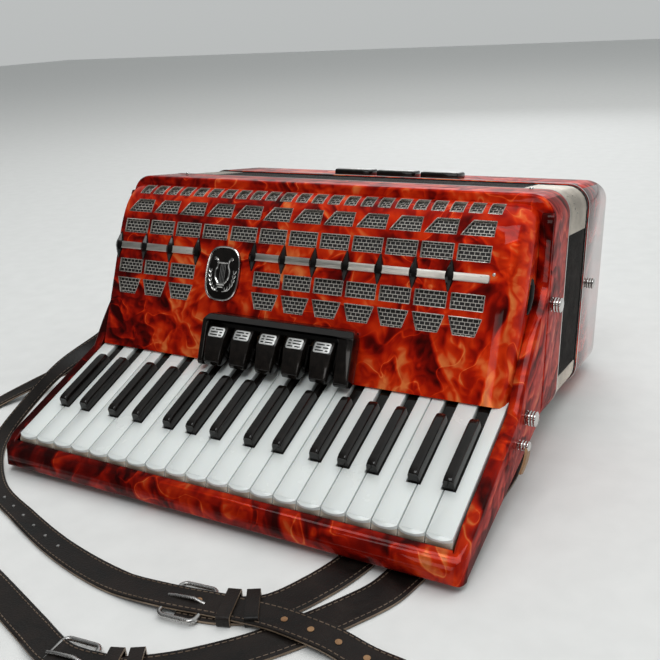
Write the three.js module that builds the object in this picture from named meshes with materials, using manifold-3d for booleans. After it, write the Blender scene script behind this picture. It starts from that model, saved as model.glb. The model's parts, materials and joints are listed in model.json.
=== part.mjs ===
// A 34-key piano accordion, lying closed on its back: the keyboard faces up and forward, the bellows axis
// runs front to back, and the bass side is at the rear. Millimetres, +Z up, +X towards the high notes.
//
// Everything but the shoulder straps sits in the instrument group, whose own frame is square to the casings:
// Y is the bellows axis, Z = 0 is the casings' underside, and Y = 0, X = 0 is the middle of the key fronts.
// The keyboard slopes down past the casings' underside, so the instrument leans back on its keyboard rail
// and on the feet of the bass cover, and the group is turned by LEAN to stand that way.
import * as THREE from "three";
import { mergeVertices } from "three/addons/utils/BufferGeometryUtils.js";
import Module from "manifold-3d";

const wasm = await Module();
wasm.setup();

// ---- driving dimensions -------------------------------------------------------------------------------

export const WHITE_PITCH = 19.6;
const WHITE_COUNT = 20;
const HALF_KEYBOARD = (WHITE_PITCH * WHITE_COUNT) / 2;
const KEY_GAP = 0.7; // between neighbouring keys
const KEY_SLOPE = THREE.MathUtils.degToRad(27);
const KEY_FRONT_Z = -23; // height of the key tops' front edge
const KEY_DEPTH = 14; // thickness of a key's body
export const PIVOT = { along: 150, down: -9 }; // key axle, in the keyboard's own frame
const AXLE_R = 1.5;

const HALF_BODY = 207; // half the length of the casings
const BODY_H = 188;
const CORNER_R = 20; // casings' corners, seen along the bellows axis
const WALL = 6;
const TREBLE = { front: 175, back: 228 };
const BELLOWS = { front: 228.4, back: 304.6, wall: 13 };
const BASS = { front: 305, back: 388, edgeR: 14 };

const CHEEK_IN = HALF_KEYBOARD + 1.2; // inner faces of the keyboard's end cheeks
const PLATE = { front: 200, back: 206 }; // foundation plate, which the pallets close
const GRILLE_T = 2.2;
export const FACE = { y: 109, z: 32.6, topY: 140, topZ: 140 }; // the grille's flat face, in profile
export const FACE_LEAN = Math.atan2(FACE.topY - FACE.y, FACE.topZ - FACE.z);
const GRILLE_TOP_Z = 180;
const GRILLE_BACK_Y = 174.6;

const GAP = 0.4; // between pieces that are screwed or glued together
const FOOT = { h: 6, r: 8, tipR: 6.5 };
const REST_FRONT = { y: 14, z: -52.16 }; // the pads under the keyboard's rail
const REST_BACK = { y: BASS.back - 26 + FOOT.tipR, z: -FOOT.h }; // the rear feet
export const LEAN = Math.atan2(REST_BACK.z - REST_FRONT.z, REST_BACK.y - REST_FRONT.y);

const finish = (colour, roughness, metalness = 0) =>
  new THREE.MeshStandardMaterial({ color: colour, roughness, metalness });
const FINISH = {
  pearl: finish(0xb3200c, 0.15),
  white: finish(0xdfe4e3, 0.3),
  black: finish(0x0c0b0c, 0.15),
  steel: finish(0xc8c8ca, 0.25, 1),
  aluminium: finish(0xb6b8ba, 0.4, 1),
  wood: finish(0xb48a5a, 0.7),
  cloth: finish(0x1b1a1c, 0.9),
  leather: finish(0x17120f, 0.55),
};

// ---- solids -------------------------------------------------------------------------------------------

const solid = (geometry) => {
  const bare = geometry.index ? geometry.toNonIndexed() : geometry.clone();
  bare.deleteAttribute("normal");
  bare.deleteAttribute("uv");
  const merged = mergeVertices(bare, 1e-4);
  return new wasm.Manifold(
    new wasm.Mesh({
      numProp: 3,
      vertProperties: merged.attributes.position.array,
      triVerts: new Uint32Array(merged.index.array),
    }),
  );
};

const geometryOf = (manifold) => {
  const made = manifold.getMesh();
  const geometry = new THREE.BufferGeometry();
  geometry.setAttribute("position", new THREE.BufferAttribute(new Float32Array(made.vertProperties), 3));
  geometry.setIndex(new THREE.BufferAttribute(new Uint32Array(made.triVerts), 1));
  return geometry;
};

const polygon = (points) => new THREE.Shape(points.map(([a, b]) => new THREE.Vector2(a, b)));

// A shape drawn in X and Z, as a prism from y0 to y1.
const prismY = (shape, y0, y1, curveSegments = 5) => {
  const geometry = new THREE.ExtrudeGeometry(shape, { depth: y1 - y0, bevelEnabled: false, curveSegments });
  return geometry.rotateX(Math.PI / 2).translate(0, y1, 0);
};

// A shape drawn in Y and Z, as a prism from x0 to x1.
const prismX = (shape, x0, x1, curveSegments = 5) => {
  const geometry = new THREE.ExtrudeGeometry(shape, { depth: x1 - x0, bevelEnabled: false, curveSegments });
  const turn = new THREE.Matrix4().makeBasis(
    new THREE.Vector3(0, 1, 0),
    new THREE.Vector3(0, 0, 1),
    new THREE.Vector3(1, 0, 0),
  );
  return geometry.applyMatrix4(turn).translate(x0, 0, 0);
};

// A shape drawn in X and Y, as a prism from z0 to z1.
const prismZ = (shape, z0, z1, curveSegments = 5) =>
  new THREE.ExtrudeGeometry(shape, { depth: z1 - z0, bevelEnabled: false, curveSegments })
    .translate(0, 0, z0);

const box = (x0, x1, y0, y1, z0, z1) =>
  new THREE.BoxGeometry(x1 - x0, y1 - y0, z1 - z0).translate((x0 + x1) / 2, (y0 + y1) / 2, (z0 + z1) / 2);

const roundedRect = (x0, x1, z0, z1, r) => {
  const shape = new THREE.Shape();
  shape.moveTo(x0 + r, z0);
  shape.lineTo(x1 - r, z0);
  shape.absarc(x1 - r, z0 + r, r, -Math.PI / 2, 0);
  shape.lineTo(x1, z1 - r);
  shape.absarc(x1 - r, z1 - r, r, 0, Math.PI / 2);
  shape.lineTo(x0 + r, z1);
  shape.absarc(x0 + r, z1 - r, r, Math.PI / 2, Math.PI);
  shape.lineTo(x0, z0 + r);
  shape.absarc(x0 + r, z0 + r, r, Math.PI, Math.PI * 1.5);
  return shape;
};

const cylinderX = (r, x0, x1, y, z, sides = 12) =>
  new THREE.CylinderGeometry(r, r, x1 - x0, sides).rotateZ(Math.PI / 2).translate((x0 + x1) / 2, y, z);

const cylinderY = (r, y0, y1, x, z, sides = 12) =>
  new THREE.CylinderGeometry(r, r, y1 - y0, sides).translate(x, (y0 + y1) / 2, z);

const node = (name, shape, material) => {
  const mesh = new THREE.Mesh(geometryOf(shape.isBufferGeometry ? solid(shape) : shape), material);
  mesh.name = name;
  return mesh;
};

// ---- keyboard -----------------------------------------------------------------------------------------

const OCTAVE = ["c", "c_sharp", "d", "d_sharp", "e", "f", "f_sharp", "g", "g_sharp", "a", "a_sharp", "b"];
const BLACK_SHIFT = { c_sharp: -3.3, d_sharp: 3.0, f_sharp: -3.8, g_sharp: 0, a_sharp: 3.8 };
const FIRST_NOTE = 7; // the keyboard starts at a G
const KEY_COUNT = 34;
const BLACK = { front: 42, ledge: 104, width: 9.2, topWidth: 7.6, rise: 9, armWidth: 8.6 };
const WHITE_PALLET_Z = [112, 146];
const BLACK_PALLET_Z = [68, 102];

// Every key's name, kind and middle, from the low notes to the high ones.
const keyList = () => {
  const keys = [];
  let whites = 0;
  for (let i = 0; i < KEY_COUNT; i++) {
    const note = OCTAVE[(FIRST_NOTE + i) % 12];
    const octave = 3 + Math.floor((FIRST_NOTE + i) / 12);
    const black = note in BLACK_SHIFT;
    const edge = -HALF_KEYBOARD + whites * WHITE_PITCH;
    const x = black ? edge + BLACK_SHIFT[note] : edge + WHITE_PITCH / 2;
    keys.push({ name: `key_${note}_${octave}`, black, x });
    if (!black) whites += 1;
  }
  return keys;
};
export const KEYS = keyList();

// From the keyboard's own frame, along and square to the key tops, to the instrument's.
export const fromKeyboard = (along, up) => ({
  y: along * Math.cos(KEY_SLOPE) - up * Math.sin(KEY_SLOPE),
  z: KEY_FRONT_Z + along * Math.sin(KEY_SLOPE) + up * Math.cos(KEY_SLOPE),
});
const sloped = (points) => points.map(([along, up]) => fromKeyboard(along, up)).map(({ y, z }) => [y, z]);
const keyFrameSolid = (geometry) =>
  solid(geometry.rotateX(KEY_SLOPE).translate(0, 0, KEY_FRONT_Z));

// The metal arm that runs from the key's heel, past the axle and up the foundation plate, and its pallet.
const lever = (x, palletZ) => {
  const [low, high] = palletZ;
  const heel = fromKeyboard(PIVOT.along, PIVOT.down - 3);
  const arm = polygon([
    [heel.y + 5, heel.z + 1],
    [188, 44],
    [192, 50],
    [192, high - 8],
    [188, high - 8],
    [188, 56],
    [heel.y + 2, heel.z + 9],
  ]);
  const pallet = box(x - 4.2, x + 4.2, 191.5, PLATE.front - GAP, low, high);
  return solid(prismX(arm, x - 1.4, x + 1.4)).add(solid(pallet));
};

const axleHole = () => {
  const { y, z } = fromKeyboard(PIVOT.along, PIVOT.down);
  return solid(cylinderX(AXLE_R + 0.4, -HALF_BODY, HALF_BODY, y, z, 8));
};

const HEEL = PIVOT.along + 6;

const whiteKey = (key, blacks) => {
  const left = key.x - WHITE_PITCH / 2 + KEY_GAP / 2;
  const right = key.x + WHITE_PITCH / 2 - KEY_GAP / 2;
  const near = (a) => blacks.filter((b) => Math.abs(b.x - a) < 8);
  const tailLeft = Math.max(left, ...near(left).map((b) => b.x + BLACK.width / 2 + KEY_GAP));
  const tailRight = Math.min(right, ...near(right).map((b) => b.x - BLACK.width / 2 - KEY_GAP));
  const shoulder = BLACK.front - KEY_GAP;
  const outline = new THREE.Shape();
  outline.moveTo(left + 2.5, 0.6);
  outline.quadraticCurveTo(key.x, -0.6, right - 2.5, 0.6);
  outline.lineTo(right, 3);
  outline.lineTo(right, shoulder);
  outline.lineTo(tailRight, shoulder);
  outline.lineTo(tailRight, HEEL);
  outline.lineTo(tailLeft, HEEL);
  outline.lineTo(tailLeft, shoulder);
  outline.lineTo(left, shoulder);
  outline.lineTo(left, 3);
  key.tail = (tailLeft + tailRight) / 2;
  return keyFrameSolid(prismZ(outline, -KEY_DEPTH, 0, 3))
    .add(lever(key.tail, WHITE_PALLET_Z))
    .subtract(axleHole());
};

// A black key: the raised playing part, tapered in section, and the low arm behind its ledge.
const blackKey = (key) => {
  key.tail = key.x;
  const half = BLACK.width / 2;
  const halfTop = BLACK.topWidth / 2;
  const section = polygon([
    [key.x - half, -KEY_DEPTH],
    [key.x + half, -KEY_DEPTH],
    [key.x + half, 1],
    [key.x + halfTop, BLACK.rise - 1.2],
    [key.x + halfTop - 1.2, BLACK.rise],
    [key.x - halfTop + 1.2, BLACK.rise],
    [key.x - halfTop, BLACK.rise - 1.2],
    [key.x - half, 1],
  ]);
  const raised = prismY(section, BLACK.front, BLACK.ledge);
  const nose = polygon([
    [BLACK.front - 1, BLACK.rise - 3.5],
    [BLACK.front + 4, BLACK.rise + 1],
    [BLACK.front - 1, BLACK.rise + 1],
  ]);
  const halfArm = BLACK.armWidth / 2;
  const arm = box(key.x - halfArm, key.x + halfArm, BLACK.ledge - 1, HEEL, -KEY_DEPTH, -2.5);
  return solid(raised)
    .subtract(solid(prismX(nose, key.x - half - 1, key.x + half + 1)))
    .add(solid(arm))
    .rotate([THREE.MathUtils.radToDeg(KEY_SLOPE), 0, 0])
    .translate([0, 0, KEY_FRONT_Z])
    .add(lever(key.tail, BLACK_PALLET_Z))
    .subtract(axleHole());
};

const keys = () => {
  const blacks = KEYS.filter((key) => key.black);
  return KEYS.map((key) =>
    key.black
      ? node(key.name, blackKey(key), FINISH.black)
      : node(key.name, whiteKey(key, blacks), FINISH.white),
  );
};

const keyAxle = () => {
  const { y, z } = fromKeyboard(PIVOT.along, PIVOT.down);
  return node("key_axle", cylinderX(AXLE_R, -CHEEK_IN + GAP, CHEEK_IN - GAP, y, z, 12), FINISH.steel);
};

// Where the shoulder straps are held: studs on the low end and lugs under the casing's high end.
const STRAP_LOW = [{ y: 186, z: 62 }, { y: 212, z: 40 }];
const STRAP_LUG = { x: [150, 186], y: 200, low: -5 };

// The tray that the keys lie in: a front rail, a floor and two end cheeks. The cheeks sweep up the casing
// and carry on as a narrow rim beside the grille.
const RAIL_INNER = -1.8;
const RAIL_FRONT = -10.7;
const RAIL_CORNER_R = 15; // the tray's front corners, from above
const RAIL_ROUND = [[-40, -17], [-18.6, -17], [-17, -12.2], [-14.5, -8.9], [-10.5, -6]];
const RAIL_TOP = [[-5, -4.3], [3.4, -3.8], [3.4, 40], [-40, 40]]; // under the key tops
const CHEEK_FALL = [[-4, -4], [2, -2.6], [8, -1.2], [14, -0.2], [14, 40], [-40, 40]];
const WELL_DEPTH = -22; // under the key tops, which leaves the keys room to dip
const cheekProfile = () => {
  const shape = new THREE.Shape();
  const back = TREBLE.front - GAP;
  shape.moveTo(2.9, -48.5);
  shape.lineTo(back, 8);
  shape.lineTo(back, 174);
  shape.quadraticCurveTo(171.5, 173, 171, 166);
  shape.lineTo(170.5, 122);
  shape.quadraticCurveTo(166, 110, 147, 88);
  shape.quadraticCurveTo(122, 58, 108, 31.5);
  shape.lineTo(5, -22.2);
  shape.quadraticCurveTo(-9.6, -30.7, -10.6, -43);
  shape.quadraticCurveTo(-8, -52, 2.9, -48.5);
  return shape;
};

// Two pads under the rail, which hold it off the floor by a strap's thickness.
const railPad = (x) => {
  const { y, z } = REST_FRONT;
  const pad = polygon([[y, z], [y + 14, z + 14 * Math.tan(LEAN)], [y + 14, -38.5], [y, -43]]);
  return solid(prismX(pad, x - 7, x + 7));
};

// Chromed knobs on the ends: the bellows clips' and the shoulder straps'.
const stud = (side, r, y, z) => {
  const reach = [HALF_BODY - 1, HALF_BODY + 5.8, HALF_BODY + 9];
  const [inner, waist, tip] = reach.map((x) => side * x);
  const neck = cylinderX(r * 0.6, Math.min(inner, tip), Math.max(inner, tip), y, z, 10);
  const head = cylinderX(r, Math.min(waist, tip), Math.max(waist, tip), y, z, 10);
  return solid(neck).add(solid(head));
};

const keyboardFrame = () => {
  const outer = solid(prismX(cheekProfile(), -HALF_BODY, HALF_BODY, 5));
  const well = polygon([
    ...sloped([[RAIL_INNER, WELL_DEPTH], [RAIL_INNER, 60]]),
    [TREBLE.front + 10, 190],
    [TREBLE.front + 10, 30],
    ...sloped([[HEEL + 4, WELL_DEPTH]]),
  ]);
  const railTop = polygon(sloped([...RAIL_ROUND, ...RAIL_TOP]));
  const cheekFall = polygon(sloped([...RAIL_ROUND, ...CHEEK_FALL]));
  const corners = roundedRect(-HALF_BODY, HALF_BODY, RAIL_FRONT, TREBLE.back, RAIL_CORNER_R);
  const under = polygon([[52, -60], [166, -60], [166, 20], [152, 20], [52, -30]]);
  const tray = outer
    .subtract(solid(prismX(well, -CHEEK_IN, CHEEK_IN)))
    .subtract(solid(prismX(railTop, -CHEEK_IN, CHEEK_IN)))
    .subtract(solid(prismX(cheekFall, -HALF_BODY - 1, HALF_BODY + 1)))
    .intersect(solid(prismZ(corners, -80, BODY_H)))
    .subtract(solid(prismX(under, -CHEEK_IN + 6, CHEEK_IN - 6)));
  const pads = [railPad(-194), railPad(194)];
  const fittings = [...pads, stud(1, 6, 128, 24.5), stud(1, 4, 110, 9)];
  return node("keyboard_frame", fittings.reduce((a, b) => a.add(b), tray), FINISH.pearl);
};

// ---- treble casing ------------------------------------------------------------------------------------

const casing = (y0, y1, wall) => {
  const outside = solid(prismY(roundedRect(-HALF_BODY, HALF_BODY, 0, BODY_H, CORNER_R), y0, y1));
  const inside = roundedRect(-HALF_BODY + wall, HALF_BODY - wall, wall, BODY_H - wall, CORNER_R - wall);
  return outside.subtract(solid(prismY(inside, y0 - 1, y1 + 1)));
};

// The casing's front is open for the levers, inside a narrow flange that the grille and the cheeks seat on.
const FLANGE = 3;
const trebleCase = () => {
  const face = roundedRect(-HALF_BODY, HALF_BODY, 0, BODY_H, CORNER_R);
  face.holes.push(roundedRect(-CHEEK_IN + 1, CHEEK_IN - 1, 28, 175, 10));
  const flange = solid(prismY(face, TREBLE.front, TREBLE.front + FLANGE));
  const { y, low } = STRAP_LUG;
  const fittings = [
    flange,
    stud(1, 6, 184, 101.6),
    ...STRAP_LOW.map((at) => stud(-1, 4, at.y, at.z)),
    ...STRAP_LUG.x.map((x) => solid(box(x - 8, x + 8, y - 3, y + 3, low, 1))),
  ];
  const shell = casing(TREBLE.front, TREBLE.back, WALL);
  return node("treble_case", fittings.reduce((a, b) => a.add(b), shell), FINISH.pearl);
};

const PLATE_MARGIN = WALL + GAP;

const foundationPlate = () => {
  const half = HALF_BODY - PLATE_MARGIN;
  const outline = roundedRect(-half, half, PLATE_MARGIN, BODY_H - PLATE_MARGIN, CORNER_R - PLATE_MARGIN);
  const holes = KEYS.map((key) => {
    const [low, high] = key.black ? BLACK_PALLET_Z : WHITE_PALLET_Z;
    return solid(box(key.tail - 3, key.tail + 3, PLATE.front - 1, PLATE.back + 1, low + 3, high - 3));
  });
  const plate = solid(prismY(outline, PLATE.front, PLATE.back));
  return node("foundation_plate", holes.reduce((a, b) => a.subtract(b), plate), FINISH.aluminium);
};

// A wooden block of reed chambers, as a comb of pockets that open downwards.
const reedBlock = (y0, y1, z0, z1, chambers) => {
  const halfLength = 172;
  const pitch = (2 * halfLength - 8) / chambers;
  let block = solid(box(-halfLength, halfLength, y0, y1, z0, z1));
  for (let i = 0; i < chambers; i++) {
    const x = -halfLength + 4 + pitch * i;
    block = block.subtract(solid(box(x + 2, x + pitch - 2, y0 + 6, y1 - 3, z0 - 1, z1 - 5)));
  }
  return block;
};

// The bass reeds' block stands on a plate that fills the bass casing's mouth.
const bassReedBlock = () => {
  const outline = roundedRect(-200.4, 200.4, 6.6, BODY_H - 6.6, CORNER_R - 6.6);
  const plate = solid(prismY(outline, 330, 334)).subtract(solid(box(-160, 160, 329, 335, 60, 130)));
  return node("bass_reed_block", reedBlock(274, 331, 44, 140, 12).add(plate), FINISH.wood);
};

// ---- grille -------------------------------------------------------------------------------------------

// The grille's section: a flat face that leans back, then a wide bend over to the casing.
const GRILLE_HALF = CHEEK_IN - GAP;
const GRILLE_END_R = { left: 5, right: 14 };
const GRILLE_BEND = [
  [135.5, 124.5],
  [144.6, 156],
  [153, 176],
  [GRILLE_BACK_Y, GRILLE_TOP_Z],
];
const KEY_CLEAR = 1.8; // over the key tops
const grilleSection = (inset, foot) => {
  const [a, b, c, d] = GRILLE_BEND.map(([y, z]) => new THREE.Vector2(y, z));
  const bend = new THREE.CubicBezierCurve(a, b, c, d).getPoints(8);
  const front = new THREE.Vector2(FACE.y, FACE.z + KEY_CLEAR);
  const line = [front, ...bend];
  const normal = (i) => {
    const before = line[Math.max(i - 1, 0)];
    const after = line[Math.min(i + 1, line.length - 1)];
    const along = after.clone().sub(before).normalize();
    return new THREE.Vector2(along.y, -along.x);
  };
  const moved = line.map((p, i) => p.clone().addScaledVector(normal(i), inset));
  return polygon([...moved.map((p) => [p.x, p.y]).reverse(), ...foot]);
};

// The cover is a shell, open at the back and underneath, whose ends turn back with a wide radius.
const grilleBody = () => {
  const rim = [
    [FACE.y + 1.5, FACE.z + KEY_CLEAR],
    [HEEL * Math.cos(KEY_SLOPE) + 1, 52],
    [150, 64],
    [GRILLE_BACK_Y, 96],
  ];
  const plan = (inset) => {
    const half = GRILLE_HALF - inset;
    const [left, right] = [GRILLE_END_R.left - inset, GRILLE_END_R.right - inset];
    const [front, back] = [FACE.y - 0.4 + Math.min(inset, GRILLE_T * 0.9), GRILLE_BACK_Y + 30];
    const shape = new THREE.Shape();
    shape.moveTo(-half, back);
    shape.lineTo(-half, front + left);
    shape.absarc(-half + left, front + left, left, Math.PI, Math.PI * 1.5);
    shape.absarc(half - right, front + right, right, Math.PI * 1.5, Math.PI * 2);
    shape.lineTo(half, back);
    return shape;
  };
  const upright = (shape) => {
    const shear = new THREE.Matrix4().makeShear(0, 0, 0, 0, 0, 0);
    shear.elements[9] = Math.tan(FACE_LEAN);
    const prism = prismZ(shape, -20, 200).translate(0, 0, -FACE.z);
    return solid(prism.applyMatrix4(shear).translate(0, 0, FACE.z));
  };
  const outer = solid(prismX(grilleSection(0, rim), -GRILLE_HALF, GRILLE_HALF)).intersect(upright(plan(0)));
  const wide = [
    [FACE.y, FACE.z - 20],
    [GRILLE_BACK_Y + 12, FACE.z - 20],
    [GRILLE_BACK_Y + 12, GRILLE_TOP_Z - GRILLE_T],
  ];
  const hollow = solid(prismX(grilleSection(GRILLE_T, wide), -GRILLE_HALF, GRILLE_HALF)).intersect(
    upright(plan(GRILLE_T + 0.8)),
  );
  return outer.subtract(hollow);
};

// Windows: each is a prism cut through the face from the front. Heights are up the instrument.
export const COLUMN = { first: -192, pitch: 30.05, count: 12, left: 3.4, right: 29.9 };
const BADGE_COLUMNS = [3, 4];
export const ROWS = { top: [156.5, 167.5], upper: [137.6, 149.6], lower: [101.3, 113.3], foot: [82.6, 96] };
export const SLITS = { count: 23, first: -184, pitch: 15.6, width: 10.8, front: 158.8, back: 171 };

const columnX = (i) => COLUMN.first + COLUMN.pitch * i;
const windowCutters = () => {
  const cutters = [];
  const through = (points) => cutters.push(solid(prismY(polygon(points), 90, 172)));
  for (let i = 0; i < COLUMN.count; i++) {
    const left = columnX(i) + COLUMN.left;
    const right = columnX(i) + COLUMN.right;
    const trapezoid = ([z0, z1], a, b) =>
      through([[left + a, z0], [right, z0], [right, z1], [left + b, z1]]);
    trapezoid(ROWS.top, 0, 8);
    trapezoid(ROWS.upper, 0, 0);
    if (BADGE_COLUMNS.includes(i)) continue;
    trapezoid(ROWS.lower, 0, 0);
    through([
      [left + 5, ROWS.foot[0]],
      [right - 4, ROWS.foot[0]],
      [right, ROWS.foot[1]],
      [left, ROWS.foot[1]],
    ]);
  }
  for (let i = 0; i < SLITS.count; i++) {
    const x = SLITS.first + SLITS.pitch * i;
    cutters.push(solid(box(x, x + SLITS.width, SLITS.front, SLITS.back, 168, 200)));
  }
  return cutters;
};

const grille = () => {
  const opening = solid(box(REGISTER.left + 9, REGISTER.right - 9, 100, 150, FACE.z - 20, 68));
  const cutters = [...windowCutters(), opening];
  const cut = cutters.reduce((body, cutter) => body.subtract(cutter), grilleBody());
  return node("treble_grille", cut.add(badgePad()), FINISH.pearl);
};

// The perforated sheet behind the windows, which follows the inside of the shell.
const MESH_T = 0.8;
const grilleMesh = () => {
  const inset = GRILLE_T + 0.9;
  const section = (extra) =>
    grilleSection(inset + extra, [
      [FACE.y + 60, 40 - extra],
      [GRILLE_BACK_Y + 6, 60],
      [GRILLE_BACK_Y + 6, GRILLE_TOP_Z - inset - extra],
    ]);
  const [left, right] = [-GRILLE_HALF + 6, GRILLE_HALF - 16];
  const sheet = solid(prismX(section(0), left, right))
    .subtract(solid(prismX(section(MESH_T), left - 1, right + 1)))
    .intersect(solid(box(left, right, FACE.y, 172, 76, 200)));
  return node("grille_mesh", sheet, FINISH.steel);
};

// ---- register switches --------------------------------------------------------------------------------

// The housing is a hooded frame that stands out from the grille's face. It and its switches are drawn in
// the face's own frame: X, then Y square into the face, then Z up it, and turned on to the face.
const REGISTER = { left: -75.5, right: 71, low: -2, high: 45.5, proud: 14, r: 9 };
const SWITCH = { first: -58.2, pitch: 25.9, count: 5, width: 19, foot: 14.5 };
const ontoFace = (manifold) =>
  manifold.rotate([-THREE.MathUtils.radToDeg(FACE_LEAN), 0, 0]).translate([0, FACE.y, FACE.z]);

const registerHousing = () => {
  const { left, right, low, high, proud, r } = REGISTER;
  const outline = solid(prismY(roundedRect(left, right, low - 12, high, r), -proud, -GAP));
  const profile = polygon([
    [-GAP, low + 5],
    [-5.5, low],
    [-proud + 2, low],
    [-proud, low + 2.5],
    [-proud, high - 8],
    [-proud + 5, high - 2],
    [-GAP, high],
  ]);
  const mouth = prismY(roundedRect(left + 5.5, right - 13, low - 20, high - 8.5, 4), -proud - 1, 1);
  const body = outline.intersect(solid(prismX(profile, left, right)));
  const foot = solid(box(left + 5, right - 8, -1.6, -GAP, low + 8, low + 10));
  return node("register_housing", ontoFace(body.subtract(solid(mouth)).add(foot)), FINISH.black);
};

// A switch: a paddle that narrows to its foot, with a sloping label facet, on a stem through the grille.
const registerSwitch = (i) => {
  const x = SWITCH.first + SWITCH.pitch * i;
  const top = SWITCH.width / 2;
  const foot = SWITCH.foot / 2;
  const plan = polygon([
    [x - foot, -1],
    [x + foot, -1],
    [x + top, 26],
    [x + top, 33.2],
    [x - top, 33.2],
    [x - top, 26],
  ]);
  const profile = polygon([
    [-5, 4],
    [-10.5, -1],
    [-15.5, -1],
    [-18, 2],
    [-17.3, 22],
    [-12.6, 33],
    [-5, 33],
  ]);
  const paddle = solid(prismY(plan, -20, -4)).intersect(solid(prismX(profile, x - top - 1, x + top + 1)));
  const stem = solid(box(x - 3, x + 3, -6, 9, 15, 23));
  return node(`register_switch_${i + 1}`, ontoFace(paddle.add(stem)), FINISH.black);
};

// The pad that the badge is glued to.
const BADGE = { x: -70, low: 84.6, high: 133, half: 17.5 };
const badgePad = () => {
  const shape = new THREE.Shape();
  const middle = (BADGE.low + BADGE.high) / 2 - FACE.z;
  shape.absellipse(BADGE.x, middle, BADGE.half, (BADGE.high - BADGE.low) / 2, 0, Math.PI * 2);
  return ontoFace(solid(prismY(shape, -1.6, 0.8, 6)));
};

// ---- bass side ----------------------------------------------------------------------------------------

const BASS_WALL = 5;
const BUTTONS = { rows: 5, columns: 12, pitchX: 17, pitchZ: 16, r: 5, first: -104, firstZ: 94, stagger: 5 };
const BOARD = { left: -128, right: 128, low: 80, high: 172 };
const AIR = { x: 160, z: 120 };

const BASS_REGISTER = { first: -35, pitch: 47.5, count: 3, half: 19.5, front: 312, back: 334 };
const bassRegisterX = (i) => BASS_REGISTER.first + BASS_REGISTER.pitch * i;

const bassCase = () => {
  const { front, back, edgeR } = BASS;
  const section = new THREE.Shape();
  section.moveTo(front, 0);
  section.lineTo(back - 4, 0);
  section.lineTo(back, 4);
  section.lineTo(back, BODY_H - edgeR);
  section.absarc(back - edgeR, BODY_H - edgeR, edgeR, 0, Math.PI / 2);
  section.lineTo(front, BODY_H);
  const outline = roundedRect(-HALF_BODY, HALF_BODY, 0, BODY_H, CORNER_R);
  const body = solid(prismX(section, -HALF_BODY, HALF_BODY)).intersect(solid(prismY(outline, front, back)));
  const inside = roundedRect(-HALF_BODY + 6, HALF_BODY - 6, 6, BODY_H - 6, CORNER_R - 6);
  const cutters = [
    solid(prismY(inside, front - 1, back - 12)),
    solid(box(-HALF_BODY + 14, HALF_BODY - 14, front, back - BASS_WALL, 6, BODY_H - 15)),
    solid(box(-170, 170, front + 12, back - 14, -1, 8)),
    solid(box(BOARD.left, BOARD.right, back - 14, back + 1, BOARD.low, BOARD.high)),
    solid(cylinderY(7, back - 14, back + 1, AIR.x, AIR.z, 12)),
  ];
  for (let i = 0; i < BASS_REGISTER.count; i++) {
    const x = bassRegisterX(i);
    const reach = BASS_REGISTER.half + 0.8;
    cutters.push(solid(box(x - 5, x + 5, 317, 329, 170, 200)));
    cutters.push(
      solid(box(x - reach, x + reach, BASS_REGISTER.front - 0.8, BASS_REGISTER.back + 0.8, BODY_H - 3, 200)),
    );
  }
  const cut = cutters.reduce((all, cutter) => all.subtract(cutter), body);
  return node("bass_case", cut.add(stud(1, 5, front + 9, 98)), FINISH.pearl);
};

const bassRegister = (i) => {
  const x = bassRegisterX(i);
  const { half, front, back } = BASS_REGISTER;
  const profile = polygon([
    [front, BODY_H - 0.2],
    [back, BODY_H - 0.2],
    [back, BODY_H + 4],
    [back - 2, BODY_H + 5.4],
    [front + 2, BODY_H + 5.4],
    [front, BODY_H + 4],
  ]);
  const stem = solid(box(x - 3, x + 3, 319, 327, BODY_H - 26, BODY_H + 2));
  return node(`bass_register_${i + 1}`, solid(prismX(profile, x - half, x + half)).add(stem), FINISH.black);
};

// The button board closes the window in the casing, with a hole for each button.
const buttonSpots = () => {
  const spots = [];
  for (let row = 0; row < BUTTONS.rows; row++) {
    for (let column = 0; column < BUTTONS.columns; column++) {
      spots.push([
        BUTTONS.first + column * BUTTONS.pitchX + row * BUTTONS.stagger,
        BUTTONS.firstZ + row * BUTTONS.pitchZ,
      ]);
    }
  }
  return spots;
};

// All the buttons, standing on the slotted plate that guides them inside the casing.
const bassButtons = () => {
  const plate = solid(box(-122, 122, 362, 366, BOARD.low + 4, BOARD.high - 4));
  return node(
    "bass_buttons",
    buttonSpots().reduce(
      (all, [x, z]) => all.add(solid(cylinderY(BUTTONS.r, 365, BASS.back + 5, x, z, 8))),
      plate,
    ),
    FINISH.white,
  );
};

const bassBoard = () => {
  const outline = polygon([
    [BOARD.left + GAP, BOARD.low + GAP],
    [BOARD.right - GAP, BOARD.low + GAP],
    [BOARD.right - GAP, BOARD.high - GAP],
    [BOARD.left + GAP, BOARD.high - GAP],
  ]);
  for (const [x, z] of buttonSpots()) {
    const hole = new THREE.Path();
    for (let k = 0; k < 8; k++) {
      const turn = ((k + 0.5) * Math.PI) / 4;
      const [a, b] = [x + (BUTTONS.r + 0.9) * Math.cos(turn), z + (BUTTONS.r + 0.9) * Math.sin(turn)];
      if (k) hole.lineTo(a, b);
      else hole.moveTo(a, b);
    }
    outline.holes.push(hole);
  }
  return node("bass_button_board", prismY(outline, BASS.back - 4, BASS.back - 0.5), FINISH.black);
};

const airButton = () =>
  node(
    "air_button",
    solid(cylinderY(5.5, 368, BASS.back + 6, AIR.x, AIR.z)).add(solid(cylinderY(9, 366, 370, AIR.x, AIR.z))),
    FINISH.steel,
  );

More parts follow.
